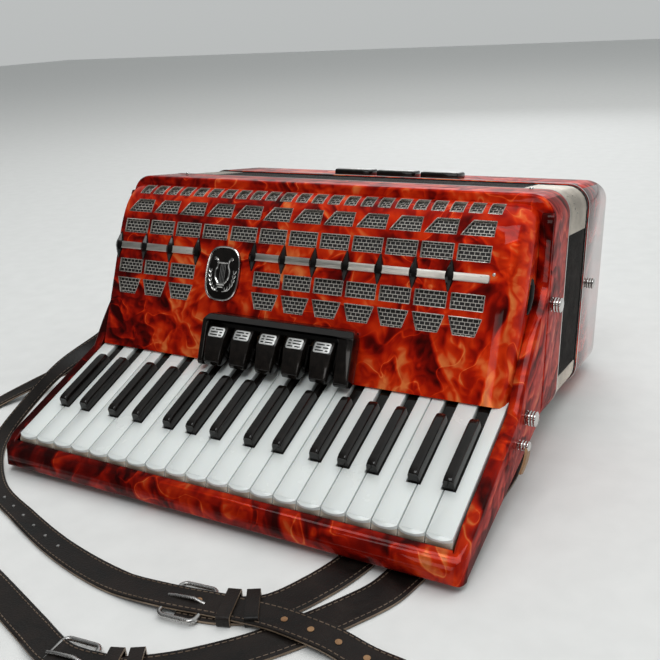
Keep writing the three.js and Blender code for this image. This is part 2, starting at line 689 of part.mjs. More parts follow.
// The cover screwed on under the bass side, with its four moulded feet.
const bassCover = () => {
  let cover = solid(box(-170 + GAP, 170 - GAP, BASS.front + 12 + GAP, BASS.back - 14 - GAP, 0, 5.6));
  for (const x of [-150, 150]) {
    for (const y of [BASS.front + 24, BASS.back - 26]) {
      const foot = new THREE.CylinderGeometry(FOOT.r, FOOT.tipR, FOOT.h + 1, 12).rotateX(Math.PI / 2);
      cover = cover.add(solid(foot.translate(x, y, 1 - (FOOT.h + 1) / 2)));
    }
  }
  return node("bass_cover", cover, FINISH.black);
};

// The wide leather band over the back of the player's left hand, bowed clear of the buttons.
const HAND_STRAP_Z = [14, 70];
const handStrap = () => {
  const bow = (t) => 9 + 32 * Math.sin(Math.PI * t) ** 0.8;
  const along = [...Array(17).keys()].map((i) => i / 16);
  const x = (t) => THREE.MathUtils.lerp(-196, 196, t);
  const outer = along.map((t) => [x(t), BASS.back + bow(t) + 4]);
  const inner = along.map((t) => [x(t), BASS.back + bow(t)]).reverse();
  const leftFoot = [[-196, BASS.back + GAP], [-202, BASS.back + GAP], [-202, BASS.back + 13]];
  const rightFoot = [[202, BASS.back + 13], [202, BASS.back + GAP], [196, BASS.back + GAP]];
  const outline = polygon([...leftFoot, ...outer, ...rightFoot, ...inner]);
  return node("bass_hand_strap", prismZ(outline, ...HAND_STRAP_Z), FINISH.leather);
};

// ---- bellows ------------------------------------------------------------------------------------------

const bellows = () => {
  const edge = 1.5;
  const outside = roundedRect(-HALF_BODY + edge, HALF_BODY - edge, edge, BODY_H - edge, CORNER_R);
  const inside = roundedRect(
    -HALF_BODY + edge + BELLOWS.wall,
    HALF_BODY - edge - BELLOWS.wall,
    edge + BELLOWS.wall,
    BODY_H - edge - BELLOWS.wall,
    CORNER_R - 8,
  );
  const ring = solid(prismY(outside, BELLOWS.front, BELLOWS.back)).subtract(
    solid(prismY(inside, BELLOWS.front - 1, BELLOWS.back + 1)),
  );
  return node("bellows", ring, FINISH.cloth);
};

// ---- shoulder straps ----------------------------------------------------------------------------------

// A flat band on a smooth path through knots of [x, y, z, roll], where roll turns its width up from level.
const STRAP_T = 2.6;
const FLOOR_GAP = 0.15;
const band = (knots, widthAt) => {
  const path = new THREE.CatmullRomCurve3(knots.map(([x, y, z]) => new THREE.Vector3(x, y, z)), false);
  const steps = 5 * (knots.length - 1);
  const rollAt = (t) => {
    const place = Math.min(t * (knots.length - 1), knots.length - 1.0001);
    const [low, high] = [knots[Math.floor(place)][3] ?? 0, knots[Math.floor(place) + 1][3] ?? 0];
    return THREE.MathUtils.degToRad(THREE.MathUtils.lerp(low, high, place % 1));
  };
  const vertices = [];
  const triangles = [];
  for (let i = 0; i <= steps; i++) {
    const t = i / steps;
    const at = path.getPoint(t);
    const along = path.getTangent(t);
    const level = new THREE.Vector3(-along.y, along.x, 0).normalize();
    const side = level.applyAxisAngle(along, rollAt(t));
    const normal = new THREE.Vector3().crossVectors(along, side).multiplyScalar(STRAP_T / 2);
    side.multiplyScalar(widthAt(t) / 2);
    for (const [a, b] of [[-1, -1], [1, -1], [1, 1], [-1, 1]]) {
      const corner = at.clone().addScaledVector(side, a).addScaledVector(normal, b);
      vertices.push(corner.x, corner.y, Math.max(corner.z, b > 0 ? STRAP_T + FLOOR_GAP : FLOOR_GAP));
    }
    if (i === 0) continue;
    for (let k = 0; k < 4; k++) {
      const [p, q] = [(i - 1) * 4 + k, (i - 1) * 4 + ((k + 1) % 4)];
      triangles.push(p, q, q + 4, p, q + 4, p + 4);
    }
  }
  const end = steps * 4;
  triangles.push(0, 2, 1, 0, 3, 2, end, end + 1, end + 2, end, end + 2, end + 3);
  const vertProperties = new Float32Array(vertices);
  const triVerts = new Uint32Array(triangles);
  return new wasm.Manifold(new wasm.Mesh({ numProp: 3, vertProperties, triVerts }));
};

// Where a point of the instrument comes to once it leans back, measured up from the floor.
const floorDrop = -(REST_FRONT.z * Math.cos(LEAN) - REST_FRONT.y * Math.sin(LEAN));
const leant = (x, { y, z }) => [
  x,
  y * Math.cos(LEAN) + z * Math.sin(LEAN),
  z * Math.cos(LEAN) - y * Math.sin(LEAN) + floorDrop,
];
const FLAT = STRAP_T / 2 + FLOOR_GAP;
const LIFT = FLAT + STRAP_T + 0.5; // for a band that lies on another

// A flat piece of hardware: a frame or loop round the band, centred at (x, y) and turned by an angle.
const clasp = (x, y, turn, length, width, height, bar) => {
  const outer = solid(box(-length / 2, length / 2, -width / 2, width / 2, 0.1, height));
  const [x1, y1] = [length / 2 - bar, width / 2 - bar];
  const inner = solid(box(-x1, x1, -y1, y1, -1, height + 1));
  const made = bar ? outer.subtract(inner) : outer;
  return made.rotate([0, 0, THREE.MathUtils.radToDeg(turn)]).translate([x, y, 0]);
};

const BAND_W = 26;
export const STRAP_1 = {
  billet: [
    [...leant(-210.8, STRAP_LOW[0]), -90],
    [...leant(-211, { y: 172, z: 50 }), -90],
    [-214, 158, 73, -80],
    [-224, 136, 62, -60],
    [-246, 103, 44, -30],
    [-258, 66, 20, -8],
    [-250, 20, FLAT + 1],
    [-190, -37, FLAT],
    [-132, -62, FLAT],
    [-70, -83, FLAT],
    [-13, -94, FLAT],
    [30, -95, LIFT],
    [75, -88, LIFT],
    [108, -84, LIFT],
    [130, -85, LIFT + 0.4],
    [152, -87, LIFT + 0.2],
    [174, -90, FLAT + 0.8],
    [196, -92, FLAT],
  ],
  chape: [
    [46, -94, FLAT],
    [75, -88, FLAT],
    [100, -74, FLAT],
    [118, -42, FLAT],
    [129, -8, FLAT],
    [136, 40, FLAT],
    [144, 100, FLAT],
    [148, 160, FLAT + 1],
    [149.5, 190, 8],
    [150, 199, 17.5],
  ],
};
export const STRAP_2 = {
  billet: [
    [...leant(-210.8, STRAP_LOW[1]), -90],
    [...leant(-211, { y: 198, z: 28 }), -90],
    [-218, 186, 49, -80],
    [-240, 168, 38, -55],
    [-290, 130, 18, -15],
    [-318, 80, 4],
    [-312, 10, FLAT],
    [-262, -60, FLAT],
    [-180, -104, FLAT],
    [-100, -128, FLAT],
    [-30, -152, FLAT],
    [12, -166, LIFT],
    [40, -163, LIFT],
    [74, -158, LIFT],
    [110, -160, FLAT + 1.4],
    [142, -168, FLAT],
  ],
  chape: [
    [12, -166, FLAT],
    [40, -163, FLAT],
    [70, -147, FLAT],
    [104, -116, FLAT],
    [128, -86, FLAT],
    [146, -58, FLAT],
    [160, -32, FLAT],
    [166, -8, FLAT],
    [176, 40, FLAT],
    [184, 100, FLAT],
    [186, 160, FLAT + 1],
    [186, 190, 8],
    [186, 199, 17.5],
  ],
};

// The billet is rolled narrow at the stud end and flattens out towards the buckle.
const BILLET_W = { tip: 12, rolled: 16, flat: 22 };
const billetWidth = (t) => {
  const { tip, rolled, flat } = BILLET_W;
  const flattened = THREE.MathUtils.lerp(rolled, flat, THREE.MathUtils.smoothstep(t, 0.4, 0.6));
  return THREE.MathUtils.lerp(tip, flattened, Math.min(t / 0.04, 1));
};
const chapeWidth = (t) => (t > 0.8 ? BAND_W - (t - 0.8) * 70 : BAND_W);

const shoulderStrap = (name, route, buckle, keepers, studs) => {
  const low = band(route.billet, billetWidth);
  const high = band(route.chape, chapeWidth);
  const parts = [clasp(...buckle), ...keepers.map((at) => clasp(...at))];
  const whole = parts.reduce((a, b) => a.add(b), low.add(high));
  return node(name, studs.reduce((a, b) => a.subtract(b), whole), FINISH.leather);
};

const eyelet = ([x, y, z]) => solid(cylinderX(3.1, x - 6, x + 6, y, z, 10));

const straps = () => [
  shoulderStrap(
    "shoulder_strap_1",
    STRAP_1,
    [50, -93, 0.1, 30, 36, 4, 4],
    [
      [78, -87, 0.3, 9, 30, 8.2, 0],
      [92, -81, 0.5, 9, 30, 8.2, 0],
    ],
    [eyelet(STRAP_1.billet[0])],
  ),
  shoulderStrap(
    "shoulder_strap_2",
    STRAP_2,
    [16, -166, 0.1, 30, 36, 4, 4],
    [
      [45, -161, 0.35, 9, 30, 8.2, 0],
      [58, -155, 0.5, 9, 30, 8.2, 0],
    ],
    [eyelet(STRAP_2.billet[0])],
  ),
];

// ---- assembly -----------------------------------------------------------------------------------------

const instrument = new THREE.Group();
instrument.add(
  ...keys(),
  keyAxle(),
  keyboardFrame(),
  trebleCase(),
  foundationPlate(),
  node("treble_reed_block", reedBlock(PLATE.back + GAP, 268, 66, 150, 17), FINISH.wood),
  grille(),
  grilleMesh(),
  registerHousing(),
  ...[...Array(SWITCH.count).keys()].map(registerSwitch),
  bellows(),
  bassCase(),
  bassReedBlock(),
  bassCover(),
  bassBoard(),
  bassButtons(),
  airButton(),
  ...[...Array(BASS_REGISTER.count).keys()].map(bassRegister),
  handStrap(),
);
instrument.rotation.x = -LEAN;

const lyingStraps = new THREE.Group();
lyingStraps.add(...straps());
lyingStraps.position.z = -floorDrop;

const accordion = new THREE.Group();
accordion.add(instrument, lyingStraps);
const bounds = new THREE.Box3().setFromObject(accordion, true);
const middle = bounds.getCenter(new THREE.Vector3());
accordion.position.set(-middle.x, -middle.y, -bounds.min.z);

export default accordion;
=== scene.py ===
"""The closed piano accordion's looks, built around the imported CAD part.

Pieces are drawn in the instrument's own frame, in millimetres: X towards the high notes, Y along the
bellows from the keyboard to the bass side, Z up the casings from their underside. INSTRUMENT turns that
into the row frame in metres. The shoulder straps lie on the floor, so their routes use ON_FLOOR instead.
"""

import json
import math
import random

import bmesh
import bpy
import numpy as np
from mathutils import Matrix, Vector
from mathutils.geometry import delaunay_2d_cdt

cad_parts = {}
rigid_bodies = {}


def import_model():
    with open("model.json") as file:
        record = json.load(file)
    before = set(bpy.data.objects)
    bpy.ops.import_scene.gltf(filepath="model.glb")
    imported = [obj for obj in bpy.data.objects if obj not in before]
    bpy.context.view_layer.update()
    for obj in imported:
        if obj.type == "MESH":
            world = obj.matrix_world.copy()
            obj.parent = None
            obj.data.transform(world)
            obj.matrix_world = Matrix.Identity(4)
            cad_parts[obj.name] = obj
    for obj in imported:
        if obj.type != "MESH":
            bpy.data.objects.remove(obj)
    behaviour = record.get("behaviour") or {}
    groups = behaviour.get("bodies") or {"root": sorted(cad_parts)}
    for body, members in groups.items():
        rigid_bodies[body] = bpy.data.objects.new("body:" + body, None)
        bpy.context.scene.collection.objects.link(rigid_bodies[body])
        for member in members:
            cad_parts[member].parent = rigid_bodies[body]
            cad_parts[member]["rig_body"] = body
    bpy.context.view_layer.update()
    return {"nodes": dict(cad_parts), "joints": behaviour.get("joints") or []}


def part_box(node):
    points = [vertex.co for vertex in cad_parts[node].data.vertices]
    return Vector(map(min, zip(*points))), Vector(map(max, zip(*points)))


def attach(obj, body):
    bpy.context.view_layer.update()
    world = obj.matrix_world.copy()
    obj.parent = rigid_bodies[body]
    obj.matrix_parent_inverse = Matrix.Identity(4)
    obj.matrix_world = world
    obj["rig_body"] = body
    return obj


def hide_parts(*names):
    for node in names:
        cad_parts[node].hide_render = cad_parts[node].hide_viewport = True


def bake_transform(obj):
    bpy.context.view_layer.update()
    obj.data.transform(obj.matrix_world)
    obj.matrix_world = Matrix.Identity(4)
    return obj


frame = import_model()

# ---- the frames ---------------------------------------------------------------------------------------

MM = 0.001
slide = next(j for j in frame["joints"] if j["name"] == "bellows_slide")
LEAN = math.atan2(-slide["axis"][2], slide["axis"][1])
AXLE = Vector((0, 137.737, 37.080))  # the key axle's middle, which the frame's key_axle node gives
axle_low, axle_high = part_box("key_axle")
LEANING = Matrix.Rotation(-LEAN, 4, "X") @ Matrix.Scale(MM, 4)
INSTRUMENT = Matrix.Translation((axle_low + axle_high) / 2) @ LEANING @ Matrix.Translation(-AXLE)
TO_INSTRUMENT = INSTRUMENT.inverted()
origin = INSTRUMENT @ Vector((0, 0, 0))
ON_FLOOR = Matrix.Translation((origin.x, origin.y, 0)) @ Matrix.Scale(MM, 4)


def at(x, y, z):
    """A point of the instrument, in the row frame."""
    return INSTRUMENT @ Vector((x, y, z))


# ---- camera, light and floor --------------------------------------------------------------------------

CAMERA = {
    "lens": 45.2,
    "place": (351.5, -430.4, 349.5),
    "right": (0.8833, 0.4660, -0.0510),
    "look": (-0.4529, 0.8202, -0.3495),
}
AIM = (0, 0, 0.12)
LIGHTS = {  # place, size, power and colour of each
    "window": ((0.25, -1.2, 2.4), (1.5, 1.1), 22, (0.97, 0.99, 1)),
    "ceiling": ((0.4, 1.0, 3.4), (4.5, 4.0), 62, (1, 0.98, 0.95)),
    "front": ((0.1, -2.3, 1.0), (0.8, 0.6), 4, (1, 0.96, 0.92)),
    "rear": ((-0.4, 2.2, 1.1), (1.2, 1.0), 6, (0.97, 0.98, 1)),
}
FLOOR_REACH = 9
WALL_SIDE = (0.5, 0.86, 0.1)  # the way to the room's bright wall


def camera():
    """The photo's camera, as fitted to the keyboard and the casings."""
    data = bpy.data.cameras.new("camera")
    data.lens = CAMERA["lens"]
    data.sensor_width = 36
    made = bpy.data.objects.new("camera", data)
    bpy.context.scene.collection.objects.link(made)
    right = Vector(CAMERA["right"]).normalized()
    look = Vector(CAMERA["look"]).normalized()
    turned = Matrix((right, right.cross(look), -look)).transposed().to_4x4()
    made.matrix_world = Matrix.Translation(ON_FLOOR @ Vector(CAMERA["place"])) @ turned
    bpy.context.scene.camera = made


def area_light(name, place, size, power, colour):
    """A soft rectangular light that looks at the instrument."""
    data = bpy.data.lights.new(name, "AREA")
    data.shape = "RECTANGLE"
    data.size, data.size_y = size
    data.energy = power
    data.color = colour
    made = bpy.data.objects.new(name, data)
    made.location = place
    made.rotation_mode = "QUATERNION"
    made.rotation_quaternion = (Vector(AIM) - Vector(place)).to_track_quat("-Z", "Y")
    bpy.context.scene.collection.objects.link(made)
    return made


def studio():
    """A pale floor and wall, soft window light from above, and a dim room in front to reflect."""
    world = bpy.data.worlds.new("studio")
    bpy.context.scene.world = world
    bpy.context.scene.view_settings.view_transform = "Standard"
    n = Nodes(world)
    way = n.add("TexCoord", "Generated")
    toward = n.add("VectorMath", 1, {"operation": "DOT_PRODUCT"}, i0=way, i1=WALL_SIDE)
    height = n.add("SeparateXYZ", 2, (), i0=way)
    walls = n.remap(toward, -0.25, 0.45, 0.07, 0.62)
    room = n.math("ADD", walls, n.remap(height, 0.25, 0.9, 0.0, 0.12))
    seen = n.remap(height, -0.05, 0.25, 0.50, 0.56)
    camera_ray = n.add("LightPath", 0)
    unseen = n.math("MULTIPLY", n.math("SUBTRACT", 1.0, camera_ray), room)
    strength = n.math("ADD", n.math("MULTIPLY", camera_ray, seen), unseen)
    background = world.node_tree.nodes["Background"]
    background.inputs["Color"].default_value = (0.97, 1.0, 0.995, 1)
    n.put(background.inputs["Strength"], strength)
    for name, light in LIGHTS.items():
        area_light(name, *light).visible_glossy = name != "ceiling"
    floor = bpy.data.meshes.new("floor")
    corners = [(x * FLOOR_REACH, y * FLOOR_REACH, 0) for x, y in ((-1, -1), (1, -1), (1, 1), (-1, 1))]
    floor.from_pydata(corners, [], [(0, 1, 2, 3)])
    made = bpy.data.objects.new("floor", floor)
    bpy.context.scene.collection.objects.link(made)
    floor.materials.append(PAINT)


# ---- materials ----------------------------------------------------------------------------------------


class Nodes:
    """Short calls for drawing the node tree of a new material, or of a world."""

    def __init__(self, owner):
        self.owner = bpy.data.materials.new(owner) if isinstance(owner, str) else owner
        self.owner.use_nodes = True
        self.tree = self.owner.node_tree

    def set(self, **values):
        """Sets the shader's own sockets, by their names with _ for a space."""
        shader = self.tree.nodes["Principled BSDF"]
        for name, value in values.items():
            self.put(shader.inputs[name.replace("_", " ")], value)
        return self.owner

    def put(self, socket, value):
        if isinstance(value, bpy.types.NodeSocket):
            self.tree.links.new(value, socket)
        elif isinstance(value, tuple) and len(value) == 3 and socket.type == "RGBA":
            socket.default_value = (*value, 1)
        else:
            socket.default_value = value

    def add(self, kind, output=0, settings=(), **inputs):
        made = self.tree.nodes.new("ShaderNode" + kind)
        for name, value in dict(settings).items():
            setattr(made, name, value)
        for name, value in inputs.items():
            key = int(name[1:]) if name[0] == "i" and name[1:].isdigit() else name.replace("_", " ")
            self.put(made.inputs[key], value)
        return made.outputs[output]

    def place(self, scale=(1, 1, 1), turn=(0, 0, 0)):
        """The point's place on the piece, in metres, stretched and turned."""
        spot = self.add("TexCoord", "Object")
        if scale == (1, 1, 1) and turn == (0, 0, 0):
            return spot
        return self.add("Mapping", Vector=spot, Scale=scale, Rotation=turn)

    def noise(self, vector, scale, detail=3.0, output=0, **inputs):
        return self.add("TexNoise", output, Vector=vector, Scale=scale, Detail=detail, **inputs)

    def voronoi(self, vector, scale):
        return self.add("TexVoronoi", Vector=vector, Scale=scale)

    def math(self, operation, a, b=0.0, c=0.0):
        return self.add("Math", 0, {"operation": operation}, i0=a, i1=b, i2=c)

    def remap(self, value, low, high, to_low=0.0, to_high=1.0):
        return self.add("MapRange", 0, (), i0=value, i1=low, i2=high, i3=to_low, i4=to_high)

    def shift(self, a, b, scale):
        """Point a pushed along vector b, which runs from 0 to 1, by up to half of scale either way."""
        centred = self.add("VectorMath", 0, {"operation": "SUBTRACT"}, i0=b, i1=(0.5, 0.5, 0.5))
        pushed = self.add("VectorMath", 0, {"operation": "SCALE"}, i0=centred, Scale=scale)
        return self.add("VectorMath", 0, {"operation": "ADD"}, i0=a, i1=pushed)

    def folded(self, vector, scale, step=None):
        """Smooth hills cut by sharp valleys, at the point or a step away from it."""
        if step:
            vector = self.add("VectorMath", 0, {"operation": "ADD"}, i0=vector, i1=step)
        return self.math("ABSOLUTE", self.math("SUBTRACT", self.noise(vector, scale, 1.0), 0.5))

    def ramp(self, value, stops):
        made = self.tree.nodes.new("ShaderNodeValToRGB")
        elements = made.color_ramp.elements
        while len(elements) < len(stops):
            elements.new(1)
        for element, (place, colour) in zip(elements, stops):
            element.position = place
            element.color = (*colour, 1)
        self.put(made.inputs[0], value)
        return made.outputs[0]

    def mix(self, factor, a, b):
        made = self.tree.nodes.new("ShaderNodeMix")
        made.data_type = "RGBA"
        for index, value in ((0, factor), (6, a), (7, b)):
            self.put(made.inputs[index], value)
        return made.outputs[2]

    def bump(self, height, strength, distance=0.001, normal=None):
        made = self.tree.nodes.new("ShaderNodeBump")
        self.put(made.inputs["Strength"], strength)
        self.put(made.inputs["Distance"], distance)
        self.put(made.inputs["Height"], height)
        if normal is not None:
            self.put(made.inputs["Normal"], normal)
        return made.outputs[0]


def grained(name, grain, dark, light, rough, relief=None, stretch=(1, 1, 1), **more):
    """A material whose colour, roughness and relief follow one noise. grain is its scale, detail and distortion,
    rough its least and most roughness, and relief its bump's strength and height."""
    n = Nodes(name)
    scale, detail, distortion = grain
    noise = n.noise(n.place(stretch), scale, detail, Distortion=distortion)
    if relief:
        more["Normal"] = n.bump(noise, *relief)
    return n.set(
        Base_Color=n.ramp(noise, [(0.3, dark), (0.7, light)]),
        Roughness=n.remap(noise, 0.2, 0.8, *rough),
        **more,
    )


FOIL_STEP = (0.0018, -0.001, 0.0022)
FOIL = ((15, 0.75), (34, 0.72), (80, 0.45))  # the scale and the weight of each size of fold
FOIL_SHADES = (
    (0.06, (0.035, 0.0006, 0.0006)),
    (0.28, (0.17, 0.0025, 0.001)),
    (0.47, (0.45, 0.01, 0.0015)),
    (0.7, (0.78, 0.04, 0.004)),
    (0.95, (1.0, 0.24, 0.06)),
)


def pearl_material(name, depth, coat, coat_ior):
    """Red celluloid over crumpled pearl foil, which glows or goes dark as it tilts, under a clear coat.
    depth is painted shade: below 1 the whole colour is drawn darker, as for a piece that stands in shade."""
    n = Nodes(name)
    here = n.place()
    drawn = n.shift(here, n.noise(here, 9, 2.0, 1), 0.07)
    height, tilt = 0.0, 0.5
    for scale, weight in FOIL:
        low, high = n.folded(drawn, scale), n.folded(drawn, scale, FOIL_STEP)
        rise = n.math("SUBTRACT", high, low)
        tilt = n.math("MULTIPLY_ADD", rise, weight * 170 / scale, tilt)
        height = n.math("MULTIPLY_ADD", low, weight * 15 / scale, height)
    crest = n.remap(n.folded(drawn, 34), 0.0, 0.012, 1.0, 0.0)
    broken = n.remap(n.noise(here, 22, 2.0), 0.46, 0.6, 0.0, 0.27)
    tone_and_painted_shade = n.remap(n.noise(here, 7, 1.0), 0.3, 0.7, -0.15, 0.15)
    # Painted shade: the colour is drawn darker towards −X, as if the light falls from +X, and darker all over
    # through shaded and dim where depth is below 1.
    side = n.add("SeparateXYZ", 0, (), i0=here)
    shaded = (depth - 1) * 0.3
    tone_and_painted_shade = n.math("ADD", tone_and_painted_shade, n.remap(side, -0.19, -0.02, shaded - 0.22, shaded + 0.05))
    glow = n.math("ADD", n.math("MULTIPLY_ADD", crest, broken, tilt), tone_and_painted_shade)
    dim = 0.4 + 0.6 * depth
    colour = n.ramp(glow, [(spot, tuple(c * dim for c in shade)) for spot, shade in FOIL_SHADES])
    return n.set(
        Base_Color=colour,
        Metallic=0.4,
        Roughness=n.remap(glow, 0.1, 0.9, 0.5, 0.32),
        Normal=n.bump(height, 0.6, 0.01),
        Specular_IOR_Level=0.15,
        Specular_Tint=(0.75, 0.12, 0.06),
        Coat_Weight=coat,
        Coat_Roughness=0.025,
        Coat_IOR=coat_ior,
    )


def white_material():
    """The white keys' celluloid, polished and a very little uneven."""
    n = Nodes("white_key")
    here = n.place()
    stain = n.noise(here, 14, 4.0)
    return n.set(
        Base_Color=n.ramp(stain, [(0.3, (0.745, 0.785, 0.775)), (0.75, (0.765, 0.805, 0.795))]),
        Roughness=n.remap(n.noise(here, 60, 3.0), 0.3, 0.7, 0.24, 0.28),
        Coat_Weight=0.4,
        Coat_Roughness=0.08,
        Subsurface_Weight=0.05,
        Subsurface_Radius=(0.002, 0.0015, 0.001),
        Normal=n.bump(n.noise(here, 40, 2.0), 0.02, 0.001),
    )


def gloss_black(name, tone, rough):
    """Polished black plastic or enamel, with paler patches where it's rubbed."""
    n = Nodes(name)
    here = n.place()
    fresh, rubbed = (tone, tone * 0.8, tone * 0.7), (tone * 2.4, tone * 1.8, tone * 1.5)
    worn = n.noise(here, 160, 5.0)
    return n.set(
        Base_Color=n.ramp(worn, [(0.4, fresh), (0.8, rubbed)]),
        Roughness=n.remap(worn, 0.3, 0.8, rough, rough + 0.14),
        Specular_IOR_Level=0.15,
        Coat_Weight=0.45,
        Coat_Roughness=0.05,
        Normal=n.bump(n.noise(here, 120, 3.0), 0.04, 0.001),
    )


def metal(name, colour, rough, stretch=(1, 1, 1), grain=900, strength=0.12):
    """A metal with fine brushed or polished marks along the axis that stretch makes long."""
    n = Nodes(name)
    marks = n.noise(n.place(stretch), grain, 4.0)
    dull = n.noise(n.place(), 45, 4.0)
    darker = tuple(c * 0.72 for c in colour)
    return n.set(
        Base_Color=n.ramp(dull, [(0.3, darker), (0.65, colour)]),
        Metallic=1.0,
        Roughness=n.remap(marks, 0.25, 0.75, rough * 0.7, rough * 1.5),
        Normal=n.bump(marks, strength, 0.0004),
    )


def cloth_material():
    """The bellows' black leathercloth: a fine pebbled grain, rubbed paler along the folds."""
    n = Nodes("bellows_cloth")
    here = n.place()
    grain = n.voronoi(here, 900)
    rub = n.noise(here, 60, 5.0)
    return n.set(
        Base_Color=n.ramp(rub, [(0.35, (0.010, 0.008, 0.007)), (0.8, (0.036, 0.029, 0.026))]),
        Roughness=n.remap(grain, 0.0, 0.8, 0.5, 0.8),
        Sheen_Weight=0.12,
        Sheen_Roughness=0.5,
        Specular_IOR_Level=0.3,
        Normal=n.bump(grain, 0.35, 0.0005),
    )


def leather_material(name, dark, light):
    """Creased leather, paler where it's worn."""
    n = Nodes(name)
    here = n.place()
    grain = n.voronoi(n.shift(here, n.noise(here, 200, 2.0, 1), 0.003), 620)
    crease = n.noise(here, 38, 6.0, 0, Distortion=0.8)
    return n.set(
        Base_Color=n.ramp(crease, [(0.35, dark), (0.72, light)]),
        Roughness=n.remap(crease, 0.3, 0.8, 0.38, 0.62),
        Normal=n.bump(grain, 0.3, 0.0006, n.bump(crease, 0.25, 0.002)),
        Specular_IOR_Level=0.25,
        Coat_Weight=0.1,
        Coat_Roughness=0.3,
    )


def gauze_material():
    """Silver strands in rows like brickwork over a dark gauze."""
    n = Nodes("grille_gauze")
    flat = n.add("Mapping", Vector=n.add("Attribute", 1, {"attribute_name": "unrolled"}))
    sizes = {"Mortar_Size": 0.3, "Mortar_Smooth": 0.4, "Brick_Width": 4.3, "Row_Height": 3.05}
    brick = n.add("TexBrick", 1, {"offset": 0.5}, Vector=flat, Scale=1.0, **sizes)
    grime = n.noise(flat, 0.35, 4.0)
    strand = n.math("MULTIPLY", brick, n.remap(grime, 0.3, 0.7, 0.65, 1.0))
    return n.set(
        Base_Color=n.mix(strand, (0.012, 0.01, 0.009), (0.95, 0.9, 0.83)),
        Metallic=n.remap(brick, 0.2, 0.7, 0.1, 0.3),
        Roughness=n.remap(brick, 0.0, 1.0, 0.55, 0.28),
        Normal=n.bump(brick, 0.8, 0.0012),
    )


RED = pearl_material("red_celluloid", 1.0, 0.4, 1.4)
# Copies of the red with painted shade: the casings' ends and the keyboard tray are drawn darker, as if they
# stood in shade. The bass ends also get a stronger coat.
RED_SHADED_END = pearl_material("red_celluloid_shaded_end", 0.5, 0.12, 1.3)
RED_SHADED_TRAY = pearl_material("red_celluloid_shaded_tray", 0.42, 0.4, 1.4)
RED_SHADED_BASS = pearl_material("red_celluloid_bass", 0.35, 1.0, 1.8)
WHITE = white_material()
LIP = grained(
    "key_lip", (70, 4, 0), (0.42, 0.33, 0.25), (0.62, 0.55, 0.46), (0.35, 0.5), (0.05, 0.001),
    Coat_Weight=0.3, Coat_Roughness=0.15,
)
BLACK_KEY = gloss_black("black_key", 0.005, 0.1)
BLACK_PLASTIC = gloss_black("black_plastic", 0.006, 0.08)
CHROME = metal("chrome", (0.72, 0.7, 0.68), 0.12)
STEEL = metal("steel", (0.55, 0.54, 0.53), 0.25)
ALUMINIUM = metal("aluminium", (0.62, 0.62, 0.62), 0.38, (1, 12, 12))
BRUSHED = metal("brushed_silver", (0.8, 0.76, 0.7), 0.36, (0.06, 1, 1), 1400, 0.3)
CHAMPAGNE = metal("champagne", (0.82, 0.75, 0.66), 0.34, (1, 1, 1), 300, 0.2)
WOOD = grained(
    "reed_wood", (4, 5, 0.6), (0.3, 0.17, 0.08), (0.52, 0.34, 0.18), (0.5, 0.75), (0.2, 0.001), (6, 60, 60)
)
CLOTH = cloth_material()
LEATHER = leather_material("leather", (0.003, 0.0024, 0.002), (0.016, 0.011, 0.009))
TAN = leather_material("tan_leather", (0.2, 0.1, 0.045), (0.4, 0.24, 0.12))
GAUZE = gauze_material()
WINDOW_EDGE = metal("window_edge", (0.78, 0.74, 0.68), 0.28)
JET = gloss_black("jet_enamel", 0.004, 0.05)
LABEL = metal("label_silver", (0.95, 0.95, 0.93), 0.5, (1, 1, 1), 500, 0.05)
FELT = grained(
    "pallet_felt", (1500, 5, 0), (0.2, 0.17, 0.14), (0.34, 0.3, 0.25), (0.85, 1.0), (0.5, 0.0006),
    Sheen_Weight=0.3,
)
PAINT = grained("floor_paint", (40, 4, 0), (0.72, 0.73, 0.725), (0.76, 0.77, 0.765), (0.6, 0.75))
THREAD = leather_material("waxed_thread", (0.1, 0.07, 0.05), (0.2, 0.15, 0.11))
STRAP_EDGE = leather_material("strap_edge", (0.12, 0.08, 0.055), (0.36, 0.27, 0.19))

# ---- making pieces ------------------------------------------------------------------------------------

WIDE_EDGE = 2.6
BODY_OF = {name: node["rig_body"] for name, node in frame["nodes"].items()}


def finished(mesh, name, materials, body, slot, replaces=(), smooth=35):
    """A mesh already in the row frame, as a piece that rides on a body."""
    made = bpy.data.objects.new(name, mesh)
    bpy.context.scene.collection.objects.link(made)
    for each in materials:
        mesh.materials.append(each)
    mesh.shade_smooth()
    mesh.set_sharp_from_angle(angle=math.radians(smooth))
    if body:
        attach(made, body)
    if replaces:
        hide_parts(*replaces)
    return made


def rounded_edges(made, width, segments, chosen):
    """Rounds the chosen edges of a bmesh by a width in millimetres."""
    if chosen:
        shape = {"offset_type": "OFFSET", "profile": 0.5, "affect": "EDGES", "clamp_overlap": False}
        bmesh.ops.bevel(made, geom=chosen, offset=width * MM, segments=segments, **shape)


